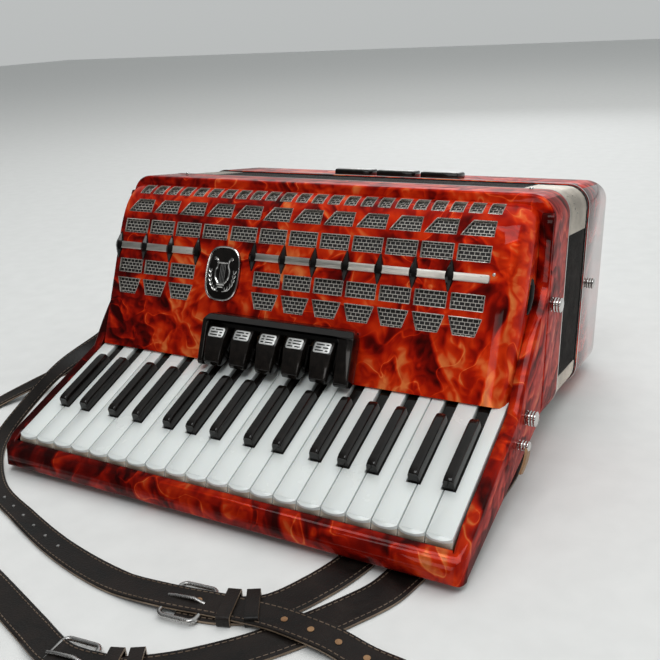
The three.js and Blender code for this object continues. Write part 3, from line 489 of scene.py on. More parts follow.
def refined(node, name, materials, slot, width=0.6, segments=2, keep=None, wide=None):
    """A CAD node's mesh, welded, with its edges rounded by width millimetres. keep(centre) drops faces and
    wide(middle) picks edges that are rounded more; both are asked in the instrument's frame.
    Faces that look along X get the second material, if there is one."""
    made = bmesh.new()
    made.from_mesh(frame["nodes"][node].data)
    bmesh.ops.remove_doubles(made, verts=made.verts, dist=0.02 * MM)
    if keep:
        lost = [f for f in made.faces if not keep(TO_INSTRUMENT @ f.calc_center_median())]
        bmesh.ops.delete(made, geom=lost, context="FACES")
    bmesh.ops.dissolve_limit(made, angle_limit=math.radians(1), verts=made.verts, edges=made.edges)

    def sharp():
        corners = [e for e in made.edges if len(e.link_faces) == 2]
        return [e for e in corners if e.calc_face_angle() > math.radians(32) and e.is_convex]

    def middle(edge):
        return TO_INSTRUMENT @ ((edge.verts[0].co + edge.verts[1].co) / 2)

    if wide:
        rounded_edges(made, WIDE_EDGE, 4, [e for e in sharp() if wide(middle(e))])
    rounded_edges(made, width, segments, sharp())
    for f in made.faces:
        f.material_index = 1 if len(materials) > 1 and abs(f.normal.x) > 0.6 else 0
    mesh = bpy.data.meshes.new(name)
    made.to_mesh(mesh)
    made.free()
    return finished(mesh, name, materials, BODY_OF[node], slot, (node,))


# ---- drawing shapes -----------------------------------------------------------------------------------


def inset_loop(points, distance):
    """A closed 2D outline, anticlockwise, moved inwards by a distance."""
    moved = []
    for i, here in enumerate(points):
        before, after = Vector(points[i - 1]), Vector(points[(i + 1) % len(points)])
        here = Vector(here)
        first, second = (here - before).normalized(), (after - here).normalized()
        n1, n2 = Vector((-first.y, first.x)), Vector((-second.y, second.x))
        miter = n1 + n2
        reach = miter.dot(n1)
        moved.append(here + miter * (distance / reach if reach > 0.15 else 0))
    return moved


def rounded_rect(x0, x1, y0, y1, r, steps=6):
    """The outline of a rectangle with round corners, anticlockwise."""
    points = []
    left, right, low, high = x0 + r, x1 - r, y0 + r, y1 - r
    for cx, cy, start in ((right, low, -90), (right, high, 0), (left, high, 90), (left, low, 180)):
        for k in range(steps + 1):
            turn = math.radians(start + 90 * k / steps)
            points.append((cx + r * math.cos(turn), cy + r * math.sin(turn)))
    return points


class Shape:
    """The vertices and faces of one piece as it is drawn, and each face's material."""

    def __init__(self):
        self.points, self.faces, self.marks = [], [], []

    def add(self, points, faces, mark=0):
        first = len(self.points)
        self.points += [Vector(p) for p in points]
        self.faces += [[first + i for i in face] for face in faces]
        self.marks += [mark] * len(faces)
        return self

    def loft(self, rings, mark=0, ends=True, around=True, mark_of=None):
        """A skin over rings of equally many points. around is "rings" where the last ring joins the first.
        mark_of(ring, point) gives a face's material."""
        first, n = len(self.points), len(rings[0])
        self.points += [Vector(p) for ring in rings for p in ring]
        for i in range(len(rings) - (0 if around == "rings" else 1)):
            j = (i + 1) % len(rings)
            for k in range(n):
                face = [first + i * n + k, first + i * n + (k + 1) % n]
                face += [first + j * n + (k + 1) % n, first + j * n + k]
                self.faces.append(face)
                self.marks.append(mark_of(i, k) if mark_of else mark)
        if ends and around != "rings":
            last = first + (len(rings) - 1) * n
            self.faces += [list(range(first + n - 1, first - 1, -1)), list(range(last, last + n))]
            self.marks += [mark, mark]
        return self

    def slab(self, outline, place, low, high, edge=0.0, mark=0):
        """An outline as a plate from low to high, with a round upper edge of a size.
        place(a, b, height) gives the point for a point of the outline at a height."""
        if edge:
            steps = [(0, low), (0, high - edge), (edge * 0.3, high - edge * 0.3), (edge, high)]
        else:
            steps = [(0, low), (0, high)]
        rings = [[place(a, b, h) for a, b in inset_loop(outline, d)] for d, h in steps]
        return self.loft(rings, mark)

    def lathe(self, base, axis, profile, segments=20, mark=0):
        """A turned solid: profile is (radius, height) from one end on the axis to the other."""
        axis = Vector(axis).normalized()
        side = axis.orthogonal().normalized()
        other = axis.cross(side)
        rings = []
        for r, h in profile:
            turns = [2 * math.pi * k / segments for k in range(segments)]
            middle = Vector(base) + axis * h
            rings.append([middle + side * (r * math.cos(t)) + other * (r * math.sin(t)) for t in turns])
        return self.loft(rings, mark)

    def tube(self, path, radius, sides=8, closed=False, mark=0, flat=1.0):
        """A round bar along a path of points; flat squeezes it across its second direction."""
        path = [Vector(p) for p in path]
        rings, side = [], None
        for i, here in enumerate(path):
            before = path[i - 1] if i or closed else here
            after = path[(i + 1) % len(path)] if i + 1 < len(path) or closed else here
            along = (after - before).normalized()
            side = along.orthogonal() if side is None else side - along * side.dot(along)
            side.normalize()
            other = along.cross(side)
            turns = [2 * math.pi * k / sides for k in range(sides)]
            ring = [side * (radius * math.cos(t)) + other * (flat * radius * math.sin(t)) for t in turns]
            rings.append([here + spoke for spoke in ring])
        return self.loft(rings, mark, ends=not closed, around="rings" if closed else True)

    def piece(self, name, materials, body, slot, replaces=(), smooth=35, matrix=INSTRUMENT):
        mesh = bpy.data.meshes.new(name)
        mesh.from_pydata([matrix @ p for p in self.points], [], self.faces)
        mesh.polygons.foreach_set("material_index", self.marks)
        tidy = bmesh.new()
        tidy.from_mesh(mesh)
        bmesh.ops.remove_doubles(tidy, verts=tidy.verts, dist=0.002 * MM)
        bmesh.ops.recalc_face_normals(tidy, faces=tidy.faces)
        tidy.to_mesh(mesh)
        tidy.free()
        return finished(mesh, name, materials, body, slot, replaces, smooth)


# ---- keyboard -----------------------------------------------------------------------------------------

KEY_SLOPE = math.radians(27)
KEY_FRONT_Z = -23
WHITE_PITCH = 19.6
HALF_KEYBOARD = WHITE_PITCH * 10
KEY_GAP = 0.7
KEY_DEPTH = 14
HEEL = 156
BLACK = {"front": 42, "width": 9.2, "top": 7.6, "arm": 8.6}
WHITE_STEPS = [  # the nose's sag, the front's place, the inset and the height of each ring of a white key
    (0, 0.6, 0, -KEY_DEPTH), (0, 0.2, 0, -9), (0, 0.0, 0, -6), (1.2, 0.5, 0, -4),
    (2.6, 0.4, 0, -2.6), (3.4, 0.3, 0, -1.3), (3.4, 0.4, 0.25, -0.35), (3.4, 0.5, 0.8, 0),
]
BLACK_SECTIONS = [  # the place, the height, the width's share and the front's lean of each section
    (42.05, 3.4, 0.8, -0.1), (42.1, 5.0, 0.9, -0.1), (42.3, 6.3, 0.96, -0.1), (42.9, 7.4, 1),
    (44.0, 8.2, 1), (46.0, 8.8, 1), (49.5, 9.0, 1), (97.0, 9.0, 1),
    (101.5, 8.6, 1), (103.3, 7.6, 1), (104.0, 5.6, 0.97), (104.2, 2.0, 0.95),
]
LEVER = {"back": 192, "thick": 2.8}  # the arm's far side, against the foundation plate's pallets


def keyboard(x, along, up):
    """From the keyboard's frame, along and square to the key tops, to the instrument's."""
    c, s = math.cos(KEY_SLOPE), math.sin(KEY_SLOPE)
    return Vector((x, along * c - up * s, KEY_FRONT_Z + along * s + up * c))


def key_spans():
    """Each key's node, and the low and high ends of its box along X, in the instrument's frame."""
    spans = {}
    for name in BODY_OF:
        if name.startswith("key_") and name != "key_axle":
            low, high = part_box(name)
            spans[name] = ((low.x - origin.x) / MM, (high.x - origin.x) / MM)
    return spans


def lever(shape, x, low, high):
    """The metal arm from the key's heel up the foundation plate, and its felted pallet."""
    heel, back, half = keyboard(0, 150, -12), LEVER["back"], LEVER["thick"] / 2
    profile = [(heel.y + 5, heel.z + 1), (back - 4, 44), (back, 50), (back, high - 8)]
    profile += [(back - 4, high - 8), (back - 4, 56), (heel.y + 2, heel.z + 9)]
    shape.slab(profile, lambda a, b, h: (x + h, a, b), -half, half, mark=1)
    pad = rounded_rect(x - 4.2, x + 4.2, low, high, 1.5, 3)
    shape.slab(pad, lambda a, b, h: (a, back - 0.5 + h, b), 0, 3, mark=2)
    shape.slab(pad, lambda a, b, h: (a, back + 2.5 + h, b), 0, 5.1, mark=3)


def white_key(left, right, blacks):
    """A moulded cap with a scalloped nose over a lip. Its wooden body narrows between the black keys."""
    middle, half = (left + right) / 2, (right - left) / 2
    near = [b for b in blacks if left - 8 < sum(b) / 2 < right + 8]
    tail_left = max([left] + [b[1] + KEY_GAP for b in near if sum(b) / 2 < middle])
    tail_right = min([right] + [b[0] - KEY_GAP for b in near if sum(b) / 2 > middle])
    shoulder = BLACK["front"] - KEY_GAP

    def outline(sag, front):
        points = []
        for k in range(-8, 9):
            share = math.sin(k / 8 * math.pi / 2)
            points.append((middle + half * share, front + sag * abs(share) ** 2.6))
        points.append((right, 8))
        if tail_right < right:
            points += [(right, shoulder), (tail_right, shoulder)]
        points += [(tail_right, HEEL), (tail_left, HEEL)]
        if tail_left > left:
            points += [(tail_left, shoulder), (left, shoulder)]
        points.append((left, 8))
        return points

    rings = []
    for sag, front, inset, up in WHITE_STEPS:
        rings.append([keyboard(a, b, up) for a, b in inset_loop(outline(sag, front), inset)])

    def mark_of(i, k):
        if k < 16:
            return 4 if i < 4 else 0
        return 1 if i < 2 else 0

    shape = Shape().loft(rings, mark_of=mark_of)
    lever(shape, (tail_left + tail_right) / 2, 112, 146)
    return shape


def black_key(middle):
    """A rounded black cap on its wooden arm."""
    half, half_top = BLACK["width"] / 2, BLACK["top"] / 2

    def section(along, top, share, lean=0.0):
        r = min(1.9, max(top - 1.5, 0.3))
        side = [(-half * share, -KEY_DEPTH), (-half * share, -0.5), (-half_top * share - 0.12, top - r)]
        for k in range(1, 5):
            turn = math.pi - k * math.pi / 8
            side.append((-half_top * share + r + r * math.cos(turn), top - r + r * math.sin(turn)))
        ring = side + [(-a, b) for a, b in reversed(side)]
        return [keyboard(middle + a, along - lean * max(b, 0), b) for a, b in ring]

    shape = Shape().loft([section(*each) for each in BLACK_SECTIONS])
    arm = rounded_rect(middle - BLACK["arm"] / 2, middle + BLACK["arm"] / 2, 102, HEEL, 0.6, 2)
    shape.slab(arm, keyboard, -KEY_DEPTH, -2.5, 0.6)
    lever(shape, middle, 68, 102)
    return shape


def keys():
    """All the keys, each in place of its CAD node."""
    spans = key_spans()
    blacks = [span for name, span in spans.items() if "sharp" in name]
    for name, (left, right) in spans.items():
        if "sharp" in name:
            shape, slot = black_key((left + right) / 2), "black_key"
            materials = [BLACK_KEY, ALUMINIUM, WOOD, FELT]
        else:
            shape, slot = white_key(left, right, blacks), "white_key"
            materials = [WHITE, WOOD, WOOD, FELT, LIP]
        shape.piece(name.replace("key_", "playing_"), materials, BODY_OF[name], slot, (name,))


# ---- the treble side ----------------------------------------------------------------------------------

HALF_BODY = 207
BODY_H = 188
CHEEK_IN = HALF_KEYBOARD + 1.2
GRILLE_HALF = CHEEK_IN - 0.4
GRILLE_T = 2.2
FACE = {"y": 109, "z": 32.6, "top_y": 140, "top_z": 140}
FACE_LEAN = math.atan2(FACE["top_y"] - FACE["y"], FACE["top_z"] - FACE["z"])
FACE_FOOT_Z = 34.4
GRILLE_BEND = [(135.5, 124.5), (144.6, 156), (153, 176), (174.6, 180)]
COLUMN = {"first": -192, "pitch": 30.05, "count": 12, "left": 3.4, "right": 29.9}
BADGE_COLUMNS = (3, 4)
ROWS = {"top": (156.5, 167.5), "upper": (137.6, 149.6), "lower": (101.3, 113.3), "foot": (82.6, 96)}
SLITS = {"count": 23, "first": -184, "pitch": 15.6, "width": 10.8, "front": 158.8, "back": 171}
BAR_Z = 125.5


def face(x, into, up):
    """From the grille's flat face, with into square to it and up along it, to the instrument's frame."""
    c, s = math.cos(FACE_LEAN), math.sin(FACE_LEAN)
    return Vector((x, FACE["y"] + into * c + up * s, FACE["z"] + up * c - into * s))


OUT = face(0, -1, 0) - face(0, 0, 0)  # the way out of the grille's face


class Section:
    """The grille's profile as a line that can be followed by its length, and offset inwards."""

    def __init__(self):
        a, b, c, d = (Vector(p) for p in GRILLE_BEND)
        bend = []
        for k in range(33):
            t = k / 32
            u = 1 - t
            bend.append(a * u**3 + b * (3 * u * u * t) + c * (3 * u * t * t) + d * t**3)
        front = Vector((FACE["y"], FACE_FOOT_Z))
        face_points = [front.lerp(a, k / 12) for k in range(12)]
        self.line = np.array([list(p) for p in face_points + bend])
        steps = np.linalg.norm(np.diff(self.line, axis=0), axis=1)
        self.lengths = np.concatenate([[0], np.cumsum(steps)])
        tangent = np.gradient(self.line, self.lengths, axis=0)
        tangent /= np.linalg.norm(tangent, axis=1)[:, None]
        self.inward = np.stack([tangent[:, 1], -tangent[:, 0]], axis=1)
        self.total = float(self.lengths[-1])

    def point(self, s, depth=0.0):
        y, z = (np.interp(s, self.lengths, self.line[:, i]) for i in (0, 1))
        n = [np.interp(s, self.lengths, self.inward[:, i]) for i in (0, 1)]
        size = math.hypot(*n)
        return y + depth * n[0] / size, z + depth * n[1] / size

    def at_height(self, z):
        return float(np.interp(z, self.line[:, 1], self.lengths))

    def at_back(self, y):
        return float(np.interp(y, self.line[:, 0], self.lengths))


SECTION = Section()
END_R = {"left": 5.0, "right": 14.0}


def grille_point(u, s, depth=0.0):
    """A point of the grille's skin: u along the front and round the bends at its ends, s up the section."""
    side, r = (1, END_R["right"]) if u > 0 else (-1, END_R["left"])
    flat = GRILLE_HALF - r
    past = abs(u) - flat
    if past <= 0:
        y, z = SECTION.point(s, depth)
        return Vector((u, y, z))
    turn = min(past / r, math.pi / 2)
    y, z = SECTION.point(s, r - (r - depth) * math.cos(turn))
    return Vector((side * (flat + (r - depth) * math.sin(turn)), y, z))


def window_outlines():
    """Each window as corners in the skin's u and s, with its slanted or upright sides."""
    windows = []
    for i in range(COLUMN["count"]):
        left = COLUMN["first"] + COLUMN["pitch"] * i + COLUMN["left"]
        right = COLUMN["first"] + COLUMN["pitch"] * i + COLUMN["right"]
        rows = [(ROWS["top"], (0, 0), (0, 8)), (ROWS["upper"], (0, 0), (0, 0))]
        if i not in BADGE_COLUMNS:
            rows += [(ROWS["lower"], (0, 0), (0, 0)), (ROWS["foot"], (5, 4), (0, 0))]
        for (z0, z1), low, high in rows:
            corners = [(left + low[0], z0), (right - low[1], z0), (right, z1), (left + high[1], z1)]
            windows.append([(x, SECTION.at_height(z)) for x, z in corners])
    for i in range(SLITS["count"]):
        x = SLITS["first"] + SLITS["pitch"] * i
        s0, s1 = SECTION.at_back(SLITS["front"]), SECTION.at_back(SLITS["back"])
        windows.append([(x, s0), (x + SLITS["width"], s0), (x + SLITS["width"], s1), (x, s1)])
    return windows


def split_sides(corners, step):
    """A polygon's outline with points no more than a step apart."""
    points = []
    for a, b in zip(corners, corners[1:] + corners[:1]):
        a, b = Vector(a), Vector(b)
        count = max(1, round((b - a).length / step))
        points += [a.lerp(b, k / count) for k in range(count)]
    return points


def inside(point, corners):
    """True within a convex outline whose corners run anticlockwise."""
    for a, b in zip(corners[-1:] + corners[:-1], corners):
        if (b[0] - a[0]) * (point[1] - a[1]) - (b[1] - a[1]) * (point[0] - a[0]) < 0:
            return False
    return True


REGISTER = {"left": -75.5, "right": 71, "hood_shade_top": 74, "slot_top": 64}
RIM_STEP = 3.2


def in_box(u, s, corners, margin):
    """True within a margin of the box round some corners."""
    low = [min(p[i] for p in corners) - margin for i in (0, 1)]
    high = [max(p[i] for p in corners) + margin for i in (0, 1)]
    return low[0] < u < high[0] and low[1] < s < high[1]


def grille():
    """The grille's shell: a skin with windows cut through it, whose cut edges are bare silver."""
    bend = math.pi / 2 - 1  # how much longer than its radius a bend is along the skin
    ends = [-(GRILLE_HALF + END_R["left"] * bend), GRILLE_HALF + END_R["right"] * bend]
    windows = window_outlines()
    slot_top = SECTION.at_height(REGISTER["slot_top"])
    notch = [REGISTER["left"] + 9, REGISTER["right"] - 9]
    border = [(ends[0], 0), (notch[0], 0), (notch[0], slot_top), (notch[1], slot_top)]
    border += [(notch[1], 0), (ends[1], 0), (ends[1], SECTION.total), (ends[0], SECTION.total)]
    loops = [split_sides(border, 4.5)] + [split_sides(w, RIM_STEP) for w in windows]
    points, edges = [], []
    for loop in loops:
        first = len(points)
        points += loop
        edges += [(first + k, first + (k + 1) % len(loop)) for k in range(len(loop))]
    hole = [border[1], border[4], border[3], border[2]]
    for u in np.arange(ends[0] + 4, ends[1] - 2, 6.3):
        for s in np.arange(4, SECTION.total - 2, 4.7):
            if not any(in_box(u, s, w, 1.5) for w in windows + [hole]):
                points.append(Vector((u + 0.37 * math.sin(s * 3.1), s)))
    flat, _, triangles, *_ = delaunay_2d_cdt(points, edges, [], 1, 1e-4)

    def middle(triangle):
        return sum((flat[i] for i in triangle), Vector((0, 0))) / 3

    kept = [list(t) for t in triangles if not any(inside(middle(t), w) for w in windows + [hole])]
    n = len(flat)
    shape = Shape().add([grille_point(p.x, p.y, depth) for depth in (0, GRILLE_T) for p in flat], [])
    shape.faces = kept + [[i + n for i in reversed(f)] for f in kept]
    # Painted shade: the skin under the register hood is drawn in black plastic (mark 2), for the dark seen
    # through the hood's mouth.
    hood_shade_top = SECTION.at_height(REGISTER["hood_shade_top"])

    def under_hood_shade(p):
        return REGISTER["left"] + 3 < p.x < REGISTER["right"] - 3 and p.y < hood_shade_top

    shape.marks = [2 if under_hood_shade(middle(f)) else 0 for f in kept] + [0] * len(kept)
    rims = {}  # edges with a face on one side only
    for f in kept:
        for a, b in zip(f, f[1:] + f[:1]):
            if not rims.pop((b, a), False):
                rims[(a, b)] = True
    for a, b in rims:
        p = (flat[a] + flat[b]) / 2
        outer = not (ends[0] + 0.1 < p.x < ends[1] - 0.1 and 0.1 < p.y < SECTION.total - 0.1)
        outer = outer or (notch[0] - 0.1 < p.x < notch[1] + 0.1 and p.y < slot_top + 0.1)
        shape.faces.append([b, a, a + n, b + n])
        shape.marks.append(0 if outer else 1)
    for w in windows:
        shape.tube([grille_point(u, s, 0.2) for u, s in split_sides(w, RIM_STEP)], 0.42, 5, True, mark=1)
    grille_ends(shape)
    materials = [RED, WINDOW_EDGE, BLACK_PLASTIC]
    shape.piece("grille_shell", materials, "treble_side", "red_celluloid", ("treble_grille",), 30)


def grille_ends(shape):
    """The flat end walls, from the bends back to the casing and down to the keys."""
    back = 174.4
    for side in (-1, 1):
        r = END_R["right"] if side > 0 else END_R["left"]
        rows = [SECTION.point(s, r) for s in np.linspace(0, SECTION.total, 40)]
        rows = [(y, z) for y, z in rows if y < back - 0.5]
        (foot_y, foot_z), (_, head_z) = rows[0], rows[-1]
        wall = rows + [(back, head_z), (back, 96), (150, 64), (140, 52), (foot_y + 2, foot_z + 1.2)]
        if side < 0:
            wall = wall[::-1]
        shape.slab(wall, lambda a, b, h: (side * (GRILLE_HALF - GRILLE_T + h), a, b), 0, GRILLE_T)


def weave():
    """The gauze behind the windows: one sheet, which knows each point's place when it's laid flat."""
    shape = Shape()
    us = np.arange(-GRILLE_HALF + 6, GRILLE_HALF - 15, 6.0)
    ss = np.linspace(SECTION.at_height(78), SECTION.total - 2.5, 30)
    depth = GRILLE_T + 0.5
    there_and_back = [(s, depth) for s in ss] + [(s, depth + 0.8) for s in ss[::-1]]
    shape.loft([[grille_point(u, s, d) for s, d in there_and_back] for u in us])
    made = shape.piece("grille_gauze", [GAUZE], "treble_side", "grille_mesh", ("grille_mesh",))
    flat = made.data.attributes.new("unrolled", "FLOAT_VECTOR", "POINT")
    places = np.linspace(0, SECTION.total, 1500)
    line = np.array([SECTION.point(s, depth) for s in places])
    for i, v in enumerate(made.data.vertices):
        p = TO_INSTRUMENT @ v.co
        spot = np.argmin((line[:, 0] - p.y) ** 2 + (line[:, 1] - p.z) ** 2)
        flat.data[i].vector = (p.x, places[spot], 0)


def bars_and_diamonds():
    """The silver bars between the columns, and the black bipyramids that clip them."""
    shape, gems = Shape(), Shape()
    up = (BAR_Z - FACE["z"]) / math.cos(FACE_LEAN)
    line = [COLUMN["first"] + COLUMN["pitch"] * i for i in range(COLUMN["count"])]
    spans = [(line[0], line[3]), (line[5], line[11] + 32)]
    for left, right in spans:
        outline = rounded_rect(left, right, up - 3.3, up + 3.3, 1.8, 4)
        shape.slab(outline, lambda a, b, h: face(a, -h, b), -0.1, 1.7, 0.6)
    dome = [(0, 0), (1.3, 0.1), (1.3, 0.6), (0.6, 0.9), (0, 0.95)]
    shape.lathe(face(line[11] + 34.6, 0.1, up + 4), OUT, dome, 12)
    for x in line[:4] + line[5:]:
        waist = [(-4.2, 0), (-3.1, 2.5), (0, 4.6), (3.1, 2.5), (4.2, 0)]
        rings = []
        for rise, share in ((-12.6, 0.05), (-11.8, 0.2), (-1.6, 1), (1.6, 1), (11.8, 0.2), (12.6, 0.05)):
            rings.append([face(x + a * share, -(0.1 + b * share), up + rise) for a, b in waist])
        gems.loft(rings)
    shape.piece("grille_bars", [BRUSHED], "treble_side", "chrome")
    gems.piece("grille_diamonds", [JET], "treble_side", "black_plastic", smooth=20)


def badge():
    """A black enamel badge in a silver rim, with a plain lyre between two sprigs."""
    x0, half, tall = -70, 17.5, 24.4
    middle = (108.8 - FACE["z"]) / math.cos(FACE_LEAN)

    def swollen(value):
        return math.copysign(abs(value) ** (2 / 2.9), value)

    def oval(scale, count=48):
        turns = [2 * math.pi * k / count for k in range(count)]
        a, b = half * scale, tall * scale
        return [(x0 + a * swollen(math.cos(t)), middle + b * swollen(math.sin(t))) for t in turns]

    def spot(a, b):
        return face(x0 + a, -2.1, middle + b)

    plate, trim = Shape(), Shape()
    plate.slab(oval(1), lambda a, b, h: face(a, -h, b), -0.1, 1.7, 0.5)
    trim.tube([face(a, -1.8, b) for a, b in oval(0.965)], 0.95, 8, True)
    arms = [(-3.2, -9), (-6.6, -4), (-7.2, 2), (-5.4, 7), (-6.4, 12), (-8.6, 13)]
    smooth = curve_through([Vector((a, b, 0)) for a, b in arms], 5)
    for side in (-1, 1):
        trim.tube([spot(side * p.x, p.y) for p in smooth], 0.85, 6)
        trim.lathe(spot(side * 8.6, 13), OUT, [(0, -0.6), (1.5, -0.3), (1.5, 0.5), (0, 1)], 12)
        stem = ((2, -16), (8, -14.5), (11.6, -8), (12.4, 0))
        sprig = curve_through([Vector((side * a, b, 0)) for a, b in stem], 6)
        trim.tube([spot(p.x, p.y) for p in sprig], 0.4, 6)
        for p in sprig[3::3]:
            for way in (-1, 1):
                leaf = [(0, 0), (way * 1.1 + side * 0.4, 1.5), (way * 1.5 + side * 0.6, 3.3)]
                trim.tube([spot(p.x + a, p.y + b) for a, b in leaf], 0.55, 6)
    for reach, height, thick in ((6.3, 9.4, 0.75), (4, -9.6, 1.3), (2.6, -12, 0.9)):
        trim.tube([spot(-reach, height), spot(reach, height)], thick, 6)
    for k in (-2.4, -0.8, 0.8, 2.4):
        trim.tube([spot(k, -9), spot(k, 9)], 0.22, 6)
    plate.piece("badge_enamel", [JET], "treble_side", "black_plastic")
    trim.piece("badge_silver", [CHROME], "treble_side", "chrome")


def curve_through(points, steps):
    """A smooth line through points, the way three.js draws a centripetal Catmull-Rom curve."""
    points = [Vector(p) for p in points]
    padded = [points[0] * 2 - points[1]] + points + [points[-1] * 2 - points[-2]]
    made = []
    for i in range(len(points) - 1):
        p0, p1, p2, p3 = padded[i : i + 4]
        d0, d1, d2 = (max((b - a).length, 1e-6) ** 0.5 for a, b in ((p0, p1), (p1, p2), (p2, p3)))
        t1 = ((p1 - p0) / d0 - (p2 - p0) / (d0 + d1) + (p2 - p1) / d1) * d1
        t2 = ((p2 - p1) / d1 - (p3 - p1) / (d1 + d2) + (p3 - p2) / d2) * d1
        for k in range(steps):
            t = k / steps
            square, cube = p2 * 3 - p1 * 3 - t1 * 2 - t2, p1 * 2 - p2 * 2 + t1 + t2
            made.append(p1 + t1 * t + square * t**2 + cube * t**3)
    return made + [points[-1]]


# ---- register switches --------------------------------------------------------------------------------

SWITCH = {"first": -58.2, "pitch": 25.9, "count": 5}


def switch_label(i):
    """A silver label on a switch's sloping top facet, with three generic dark lines."""
    x = SWITCH["first"] + SWITCH["pitch"] * i
    foot, head = Vector((-17.3, 22.0)), Vector((-12.6, 33.0))
    middle, up = (foot + head) / 2, (head - foot).normalized()

    def spot(a, b, h):
        return face(x + a, middle.x + b * up.x - h * up.y, middle.y + b * up.y + h * up.x)

    plate, lines = Shape(), Shape()
    plate.slab(rounded_rect(-7.6, 7.6, -4.6, 4.6, 1.8, 4), spot, -0.1, 0.5, 0.2)
    random.seed(20 + i)
    for row in (-2.6, 0, 2.6):
        gap = random.choice((-2.4, 0, 2.4))
        for a, b in ((-5.9, gap - 0.8), (gap + 0.8, 5.9)):
            lines.slab(rounded_rect(a, b, row - 0.55, row + 0.55, 0.4, 2), spot, 0.4, 0.62, 0.05)
    body = BODY_OF[f"register_switch_{i + 1}"]
    plate.piece(f"switch_label_{i + 1}", [LABEL], body, "chrome")
    lines.piece(f"switch_lines_{i + 1}", [JET], body, "black_plastic")


# ---- casings ------------------------------------------------------------------------------------------

CORNER_R = 20
TREBLE = {"front": 175, "back": 228}
BELLOWS = {"front": 228.4, "back": 304.6}
BASS = {"front": 305, "back": 388}
KNOBS = {
    "keyboard": [(1, 6, 128, 24.5), (1, 4, 110, 9)],
    "treble": [(1, 6, 184, 101.6), (-1, 4, 186, 62), (-1, 4, 212, 40)],
    "bass": [(1, 5, 314, 98)],
}


def on_shell(p):
    """True for a face that isn't part of a knob on the ends."""
    return abs(p.x) < HALF_BODY + 0.05


def on_tray_rim(p):
    """True on the outer edges of the cheeks below the casing, and round the tray's front corners."""
    front_corner = p.y < 4.3 and p.z > -30 and abs(p.x) > HALF_BODY - 15
    return p.z < 100 and (abs(p.x) > HALF_BODY - 0.1 or front_corner)


def on_front_rim(p):
    """True round the front of the treble casing: near the casings' outline, seen along the bellows."""
    dx, dz = abs(p.x) - HALF_BODY + CORNER_R, abs(p.z - BODY_H / 2) - BODY_H / 2 + CORNER_R
    out = math.hypot(dx, dz) if dx > 0 and dz > 0 else max(dx, dz)
    return p.y < TREBLE["front"] + 0.1 and out > CORNER_R - 0.6


def knobs(where, body):
    """Chromed, ribbed knobs turned on the ends: the clips' and the straps'."""
    shape = Shape()
    for side, r, y, z in KNOBS[where]:
        profile = [(0, -0.5), (0.95 * r, -0.5), (0.95 * r, 0.6), (0.78 * r, 1), (0.78 * r, 1.7)]
        for low in (1.9, 4.1, 6.3):
            rib = ((0.96, 0), (1, 0.4), (1, 1.3), (0.96, 1.7), (0.9, 1.9))
            profile += [(share * r, low + up) for share, up in rib]
        profile += [(0.7 * r, 8.8), (0, 9.1)]
        shape.lathe((side * HALF_BODY, y, z), (side, 0, 0), profile, 24)
    shape.piece(f"knobs_{where}", [CHROME], body, "chrome", smooth=45)


def outline_ring(inset, r=CORNER_R):
    """The casings' outline along the bellows, moved inwards."""
    edge = HALF_BODY - inset
    return rounded_rect(-edge, edge, inset, BODY_H - inset, max(r - inset, 2), 8)


def trim(name, body, y, radius, material, slot, out=0.35):
    """A thin bead that runs round a casing."""
    ring = [(x, y, z) for x, z in outline_ring(-out + radius)]
    Shape().tube(ring, radius, 8, True).piece(name, [material], body, slot)


def casings():
    """The casings and the black covers, refined from their CAD nodes, with their knobs and edge trims."""
    shell = {"slot": "red_celluloid", "keep": on_shell}
    # Painted shade: the ends, which look along X, and the whole keyboard tray get the darker copies of the red.
    refined("treble_case", "treble_casing", [RED, RED_SHADED_END], width=0.7, wide=on_front_rim, **shell)
    refined("keyboard_frame", "keyboard_tray", [RED_SHADED_TRAY, RED_SHADED_END], width=0.3, wide=on_tray_rim, **shell)
    refined("bass_case", "bass_casing", [RED, RED_SHADED_BASS], width=0.7, **shell)
    refined("register_housing", "register_hood", [BLACK_PLASTIC], "black_plastic", width=1.1, segments=3)
    black = []
    for old, new, width in (("register_switch", "switch_paddle", 0.7), ("bass_register", "bass_plate", 0.8)):
        black += [(n, n.replace(old, new), width) for n in frame["nodes"] if n.startswith(old)]
    black += [("bass_cover", "cover_plate", 0.8), ("bass_button_board", "button_board", 0.5)]
    for name, new_name, width in black:
        refined(name, new_name, [BLACK_PLASTIC], "black_plastic", width=width)
    for where, body in (("keyboard", "treble_side"), ("treble", "treble_side"), ("bass", "bass_side")):
        knobs(where, body)
    trim("treble_edge", "treble_side", TREBLE["back"] - 1.2, 0.9, CHROME, "chrome")
    trim("bass_edge", "bass_side", BASS["front"] + 1.2, 0.9, CHROME, "chrome")


LATCH = [  # the height, the half width and the rise of each step up the grille's latch
    (98, 0.8, 0.8), (99, 2.2, 1.9), (103, 3.1, 3.2), (112, 3.3, 3.9), (120, 3.0, 3.4), (124.5, 2.0, 2.0),
    (125.6, 0.7, 0.8),
]


